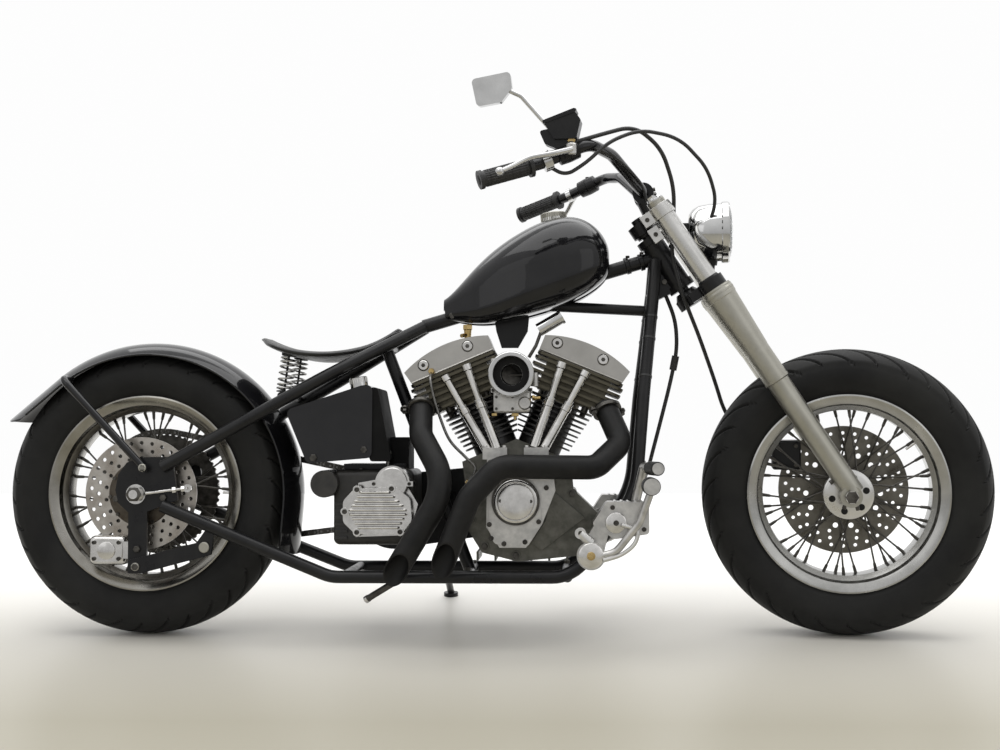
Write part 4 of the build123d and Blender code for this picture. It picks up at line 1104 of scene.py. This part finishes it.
def front_hub_trim():
    front = Shape("front_hub_trim", "rim_aluminium", "front_wheel", sharp=32)
    at = FRONT_AXLE + OUT_RIGHT * 66
    front.turned([(-2, 50), (1.5, 50), (3, 47), (3.6, 28), (3.6, 0.4)], at, OUT_RIGHT, 64)
    front.use("black_matt")
    for off in around(OUT_RIGHT, 38, 6, radians(14)):
        front.turned([(3.4, 7.4), (4.0, 7.4), (4.0, 0.3)], at + off, OUT_RIGHT, 20)
    front.use("carrier_brown")
    left = FRONT_AXLE + OUT_LEFT * 59.6
    front.turned([(0, 31), (0, 74), (2.5, 72), (3.5, 66), (3.5, 31)], left, OUT_LEFT, 72, closed=True)
    front.use("dark_steel")
    front.bolt_ring(left + OUT_LEFT * 3.4, OUT_LEFT, 50, 5, 12, 6, 20)
    front.use("polished")
    stem = FRONT_AXLE + Vector((150, -14, 112))
    front.rod(stem, stem - Vector((20, 0, 15)), 3.2, 2.8)
    front.made()


# Fork, lamp and bars

BAR_BEND, BAR_GRIP, BAR_END = Vector((1036, 278, 1080)), Vector((935, 302, 1038)), Vector((816, 350, 1001))


def bar_at(share, sign):
    """A point of the bar's run that holds the controls."""
    p = BAR_BEND + (BAR_GRIP - BAR_BEND) * share
    return Vector((p.x, sign * p.y, p.z))


def flip(points, sign):
    """Left-hand points, taken to the right where sign is RIGHT."""
    return [Vector((p[0], sign * abs(p[1]), p[2])) for p in points]


def fork_trim():
    shape = Shape("fork_trim", "rim_aluminium", "steering", sharp=32)
    for sign, out in SIDES:
        side = sign * FORK_SPREAD

        def at(along, ahead=FORK_AHEAD, across=0.0):
            return on_axis(along, ahead, side + across)
        shape.use("rim_aluminium")
        shape.rod(at(536.5), at(707.5), 23, segments=56)
        shape.use("champagne")
        shape.stepped(at(484), at(511.8), [(0, 35.4), (0.1, 37.6), (0.7, 37.9), (0.8, 36.4), (1, 36.0)], 56)
        shape.rod(at(496), at(500), 38.6, segments=56)
        shape.stepped(at(266), at(274), [(0, 26.4), (0.3, 29.4), (1, 29.4)], 48)
        shape.use("black_satin")
        shape.rod(at(536), at(541), 25.5, 24, 48)
        shape.use("chrome")
        shape.stepped(at(748), at(757), [(0, 20.4), (0.3, 20.4), (0.4, 17.5), (1, 16.5)], 40)
        shape.hexagon(at(756), AXIS_UP, 24, 6)
        shape.use("dark_steel")
        for along in (717, 727):
            shape.hexagon(at(along, FORK_AHEAD - 27.5, sign * -6), -AXIS_AHEAD, 9, 5, 2.6)
        for along in (518, 530):
            shape.hexagon(at(along, FORK_AHEAD - 31, sign * -8), -AXIS_AHEAD, 10, 6, 2.8)
        for x, z, tilt in ((-14, -19, -0.3), (12, -21, 0.2)):
            shape.hexagon(FRONT_AXLE + Vector((x, side + sign * 18, z)), (tilt, 0, -1), 9, 9, 2.6)
        shape.hexagon(FRONT_AXLE + Vector((0, side + sign * 27, 0)), out, 26, 9)
        shape.rod(at(18, FORK_AHEAD - 24), at(18, FORK_AHEAD - 31), 5)
    shape.made()


def upper_clamp():
    clamp = Shape("upper_clamp", "rim_aluminium", "steering", bevel=1.2, sharp=32)
    for sign in (RIGHT, LEFT):
        side = sign * FORK_SPREAD
        clamp.turned([(0, 23.2), (0, 27.4), (28.6, 27.4), (28.6, 20.7)], on_axis(707.7, FORK_AHEAD, side),
                AXIS_UP, 48)
        for low, behind, long, wide, high in ((707.7, 50, 34, 26, 28.6), (668, 52, 24, 22, 34)):
            foot = on_axis(low, FORK_AHEAD - behind, side - wide / 2)
            clamp.prism([(0, 0), (long, 0), (long, wide), (0, wide)], foot, AXIS_AHEAD, SIDEWAYS, high)
    clamp.use("dark_steel")
    for sign, out in SIDES:
        for along, ahead in ((722, 18), (685, 16)):
            clamp.hexagon(on_axis(along, ahead, sign * (FORK_SPREAD + 12)), out, 10, 5, 2.6)
    clamp.made()


LAMP_LINE, AHEAD = Vector((0, 0, 913)), Vector((1, 0, 0))


def headlamp():
    lamp = Shape("headlamp_dressed", "chrome", "steering", sharp=30)
    lamp.turned([(1240.5, 6), (1240.2, 30), (1242, 42), (1250, 53), (1264, 61.5), (1290, 65.5), (1316, 66),
            (1316, 64), (1290, 63.6), (1266, 59), (1253, 50), (1246, 40), (1244.5, 30), (1244.5, 6)],
            LAMP_LINE, AHEAD, 72, closed=True)
    lamp.turned([(1316, 64), (1315, 68.5), (1317.5, 70), (1330, 70), (1333.5, 67.5), (1334, 62.5),
            (1331, 62.0), (1320, 63.5)], LAMP_LINE, AHEAD, 72, closed=True)
    lamp.use("polished")
    lamp.turned([(1330, 62), (1312, 58), (1292, 48), (1278, 34), (1270, 18), (1268.5, 5), (1266.5, 5),
            (1268, 19), (1276, 35.5), (1290.5, 49.5), (1311, 60), (1329, 63)], LAMP_LINE, AHEAD, 64,
            closed=True)
    lamp.rod((1268, 0, 913), (1288, 0, 913), 6)
    lamp.use("lens")
    lamp.turned([(1331.5, 62), (1336, 54), (1339.5, 36), (1341, 14), (1341.2, 0.3), (1337.8, 0.3),
            (1337.4, 14), (1336, 34), (1332.5, 50), (1329.8, 60)], LAMP_LINE, AHEAD, 64)
    lamp.use("black_satin")
    lamp.block((1226, -22, 892), (1244, 22, 934))
    lamp.rod((1232, 0, 900), (1200, -36, 880), 5)
    lamp.rod((1290, 0, 838), (1290, 0, 850), 15, 17, 28)
    lamp.made("headlamp")


# a lever's line as it stands on the left, from its pivot to its ball end
LEVERS = {
    RIGHT: [(1002, 318, 1064), (962, 336, 1053), (917, 348, 1044), (880, 366, 1024), (858, 378, 1013)],
    LEFT: [(1000, 314, 1066), (965, 342, 1056), (946, 358, 1034), (930, 370, 1008), (908, 382, 978)],
}


def hand_controls():
    bars = Shape("hand_controls_dressed", "black_satin", "steering", sharp=38)
    for sign in (RIGHT, LEFT):
        bars.use("black_satin")
        bars.stepped(bar_at(0.24, sign), bar_at(0.66, sign), [(0, 17), (0.04, 20), (0.48, 21.4), (0.49, 20.6),
                (0.51, 20.6), (0.52, 21.4), (0.96, 20), (1, 17)], 36)
        mid = bar_at(0.45, sign)
        bars.hexagon(mid + UP * 19, UP, 12, 5)
        bars.rod(mid + Vector((-6, sign * 16, -10)), mid + Vector((-8, sign * 24, -14)), 5, 4)
        bars.use("chrome")
        line = smooth_line(flip(LEVERS[sign], sign), 8)
        bars.tube(line, 5, 10, radii=[7.2 - 2.6 * i / len(line) for i in range(len(line))])
        bars.ball(line[-1], 9.2)
        bars.use("cast")
        root = Vector((1000, sign * 312, 1066))
        bars.stepped(root - UP * 13, root + UP * 11, [(0, 9), (0.1, 11), (0.9, 11), (1, 9)], 24)
        bars.rod(root - SIDEWAYS * sign * 26, root, 13, 9, 20)
        bars.use("dark_steel")
        bars.hexagon(root + UP * 11, UP, 10, 4)
    bars.use("black_satin")
    reservoir = rounded([(943, 1120), (1009, 1142), (1020, 1126), (1011, 1087), (964, 1087)], 5)
    bars.plate(reservoir, -314, 52)
    bars.plate(rounded([(932, 1106), (966, 1112), (1003, 1092), (992, 1058), (944, 1078)], 6), -306, 34)
    bars.plate(rounded([(941, 1119), (1009, 1142), (1012, 1148), (1006, 1150), (940, 1126)], 2), -316, 56)
    for x, z in ((958, 1131), (994, 1143)):
        bars.hexagon((x, -290, z), (-0.32, 0, 0.95), 8, 4)
    bars.use("brass")
    bars.hexagon((1000, -302, 1084), OUT_RIGHT, 15, 7)
    bars.use("chrome")
    bars.stepped(bar_at(0.79, RIGHT), bar_at(0.97, RIGHT), [(0, 18), (0.06, 21.8), (0.94, 21.8), (1, 19)], 36)
    bars.rod(bar_at(0.86, LEFT), bar_at(0.97, LEFT), 17, segments=32)
    bars.made("hand_controls")


def grip_ribs():
    grips = Shape("grip_ribs", "rubber", "steering", sharp=50)
    for sign in (RIGHT, LEFT):
        inner, end = flip([BAR_GRIP, BAR_END], sign)
        run = (end - inner).normalized()
        grips.ribbed(end, run, -100, -8, 16.8, 22, 1.2)
        for i in range(6):
            grips.rod(end - run * (98 - 16 * i), end - run * (96.5 - 16 * i), 18.1, segments=40)
        grips.use("black_matt")
        grips.rod(end + run * 5.5, end + run * 7.5, 12, 9, 24)
        grips.use("rubber")
    grips.use("dark_steel")
    for sign in (RIGHT, LEFT):
        for dz in (-9, 9):
            grips.hexagon((1162, sign * 42, 1000 + dz), (1, 0, 0.2), 9, 5, 2.6)
    grips.made()


def controls_trim():
    shape = Shape("forward_controls_trim", "rim_aluminium", bevel=0.8, sharp=34)
    for sign, out in SIDES:
        def at(x, y, z):
            return Vector((x, sign * y, z))
        shape.use("polished")
        shape.turned([(0, 22), (3, 22), (4.5, 19), (4.5, 0.4)], at(1063, 240, 266), out, 40)
        shape.turned([(0, 27), (4, 27), (6, 24), (6, 0.4)], at(1010, 244, 197), out, 44)
        shape.use("brass")
        shape.turned([(6, 9), (8, 9), (8.5, 7), (8.5, 0.3)], at(1010, 244, 197), out, 24)
        shape.use("dark_steel")
        shape.hexagon(at(1063, 244, 266), out, 12, 4, 3.2)
        for x, z in ((1056, 298), (1122, 298), (1122, 252)):
            shape.hexagon(at(x, 232, z), out, 10, 5, 2.8)
        shape.use("rim_aluminium")
        for x in range(1062, 1119, 14):
            shape.rod(at(x, 226, 309), at(x, 166, 309), 3.2, segments=10)
        shape.rod(at(988, 236, 244), at(1012, 236, 222), 9, 12, 20)
        shape.washer(at(988, 238, 244), out, 4, 12, 5, 28)
        shape.tube(smooth_line([at(1074, 250, 262), at(1106, 252, 250), at(1100, 252, 222),
                at(1072, 252, 200), at(1036, 250, 188)], 6), 4.6, 10)
        shape.use("rubber")
        run = at(1146, 330, 381) - at(1128, 160, 380)
        for i in range(11):
            a = at(1128, 160, 380) + run * (0.44 + 0.05 * i)
            shape.rod(a, a + run * 0.028, 14.6, segments=28)
        for y in range(246, 307, 10):
            shape.rod(at(1134, y, 344), at(1134, y + 5.5, 344), 18.6, segments=30)
    shape.made()


def frame_trim():
    shape = Shape("frame_trim", "hose", sharp=40)
    for sign, out in SIDES:
        top, foot = Vector((1166, sign * 18, 848)), Vector((1130, sign * 108, 540))
        run = (foot - top).normalized()
        shape.use("hose")
        for share in (0.42, 0.58, 0.86):
            clip = top + (foot - top) * share
            shape.rod(clip, clip + run * 5, 15, segments=28)
        shape.use("dark_steel")
        shape.bolts([(18, 380), (60, 390), (62, 314), (4, 200), (4, 162)], sign * 117, out, 14, 7)
        shape.hexagon((20, sign * 134, 380), out, 15, 7)
        shape.hexagon((0, sign * 133, 322), out, 30, 6)
        shape.use("polished")
        shape.rod((24, sign * 123, 324), (116, sign * 123, 335), 3.6, segments=12)
        for x in (84, 104):
            shape.hexagon((x, sign * 123, 324 + (x - 24) * 0.12), (1, 0, 0.12), 12, 8)
        shape.washer((118, sign * 123, 335.3), SIDEWAYS, 4, 9, 3, 20)
        shape.use("dark_steel")
        shape.bolts([(1160, 770), (1184, 800)], sign * 15, out, 12, 5)
        for x in (740, 960):
            shape.hexagon((x, sign * 100, 152), UP, 13, 7)
    shape.rod((592, -124, 136), (518, -89, 90), 7.5)
    shape.use("polished")
    shape.rod((518, -89, 90), (512, -86, 86), 8.5)
    for x, z in ((1096, 838), (1128, 846)):
        shape.use("black_satin")
        shape.stepped((x, 0, z), (x + 10, 0, z + 3), [(0, 18), (0.1, 19.5), (0.9, 19.5), (1, 18)], 32)
        shape.use("dark_steel")
        shape.hexagon((x + 5, -14, z + 18), UP, 9, 5)
    shape.made()


FENDER_CENTRE, FENDER_EDGE_RADIUS, FENDER_EDGE_SIDE = Vector((8, 0, 320)), 316.6, 77.0
FENDER_START, FENDER_END = radians(-5), radians(130)
FENDER_RUNS = (104, 96)  # lengths of the edges' straight runs, ahead of and behind the arc


def fender_trim():
    """The beads along the fender's edges, with their straight runs at both ends, and its stay bolts."""
    fender = Shape("fender_trim", "black_gloss", sharp=40)
    for sign, out in SIDES:
        middle = FENDER_CENTRE + SIDEWAYS * sign * FENDER_EDGE_SIDE
        turns = [FENDER_START + (FENDER_END - FENDER_START) * i / 39 for i in range(40)]
        edge = [middle + Vector((cos(turn), 0, sin(turn))) * FENDER_EDGE_RADIUS for turn in turns]
        before = edge[0] + Vector((sin(FENDER_START), 0, -cos(FENDER_START))) * FENDER_RUNS[0]
        after = edge[-1] + Vector((-sin(FENDER_END), 0, cos(FENDER_END))) * FENDER_RUNS[1]
        fender.use("black_gloss")
        fender.tube([before, *edge, after], 2.6, 8)
        fender.use("dark_steel")
        fender.hexagon((-168, sign * 72, 580), out, 13, 6)
    fender.made()


def oil_tank_trim():
    tank = Shape("oil_tank_trim", "polished", sharp=36)
    foot, top = Vector((500, -92, 545)), Vector((494, -92, 580))
    axis = (top - foot).normalized()
    tank.turned([(34.6, 20.4), (35.6, 20.4), (37, 18), (37.4, 0.3)], foot, axis, 36)
    tank.ribbed(foot, axis, 24, 34, 20.1, 24, 1.0)
    tank.use("dark_steel")
    tank.hexagon((400, -125, 402), OUT_RIGHT, 15, 6)
    tank.hexagon((512, -125, 420), OUT_RIGHT, 13, 6)
    # Painted shade: a dark plate over the oil tank's front and a dark block behind the gearbox, in a black that
    # hardly reflects, stand where that space lies in shade.
    tank.use("shade_black")
    tank.plate(rounded([(524, 394), (524, 558), (541, 558), (572, 394)], 8), -121, 168)
    tank.block((552, -54, 376), (604, 54, 448))
    tank.use("black_gloss")
    tank.tube([(346, -122, 502), (500, -122, 554), (522, -122, 556), (520, -122, 412), (392, -122, 400),
            (346, -122, 502)], 2.2, 8)
    tank.made()


def caliper_trim():
    caliper = Shape("rear_caliper_trim", "polished", bevel=1.0, sharp=34)
    caliper.use("black_satin")
    caliper.plate([(-14, 147), (-14, 176), (140, 215), (164, 249), (180, 242), (172, 188), (16, 147)], -128.2,
            12.4)
    caliper.use("polished")
    caliper.plate(rounded([(-104, 170), (-104, 222), (-32, 222), (-32, 170)], 18), -110, 4.4)
    caliper.turned([(0, 20), (3, 20), (4, 17), (4, 0.4)], (-68, -110, 196), OUT_RIGHT, 40)
    caliper.use("dark_steel")
    caliper.bolts([(-96, 178), (-96, 214), (-40, 214), (-40, 178)], -110, OUT_RIGHT, 9, 5, 2.6)
    caliper.hexagon((4, -130, 162), OUT_RIGHT, 14, 6)
    caliper.use("champagne")
    for centre, radius, height, edge, segments in (((158, -128.4, 205), 12, 5.5, 1.5, 28),
            ((4, -130, 162), 9, 4, 1, 24), ((20, -136, 381), 9, 5, 1, 24)):
        caliper.turned([(0, radius), (height - edge, radius), (height, radius - edge), (height, 0.4)], centre,
                OUT_RIGHT, segments)
    caliper.made()

    front = Shape("front_caliper_trim", "black_satin", "steering", bevel=1.0, sharp=34)
    for side in (85.6, 36):
        front.plate(rounded([(1432, 372), (1432, 432), (1490, 432), (1490, 372)], 14), side, 4.4)
    front.use("dark_steel")
    corners = [(1440, 380), (1440, 424), (1482, 424), (1482, 380)]
    front.bolts(corners, 90, OUT_LEFT, 9, 5, 2.6)
    front.bolts(corners, 36, OUT_RIGHT, 9, 4)
    front.made()


def mirror_glass():
    glass = Shape("mirror_glass", "mirror_face", "steering", sharp=30)
    glass.plate(rounded([(798, 1211), (866, 1222), (869, 1197), (849, 1174), (806, 1168)], 8), -291.4, 1.2)
    glass.made()


for dress in (
        wheels, rocker_trim, pushrods, cam_chest_trim, crankcase_trim, head_trim, carburettor_trim, oil_pipe,
        gearbox_trim, gearbox_lid, primary_trim, exhaust_trim, seat, seat_pan_trim, seat_springs, tank_trim,
        chain_links, rear_hub_trim, front_hub_trim, fork_trim, upper_clamp, headlamp, hand_controls,
        grip_ribs, controls_trim, frame_trim, fender_trim, oil_tank_trim, caliper_trim, mirror_glass):
    dress()

for name, node in NODES.items():
    slot_name = next(s["material_slot"] for s in frame["record"]["subparts"] if s["node"] == name)
    slot_name = NODE_FINISH.get(name, slot_name)
    node.data.materials.clear()
    node.data.materials.append(FINISH[slot_name])
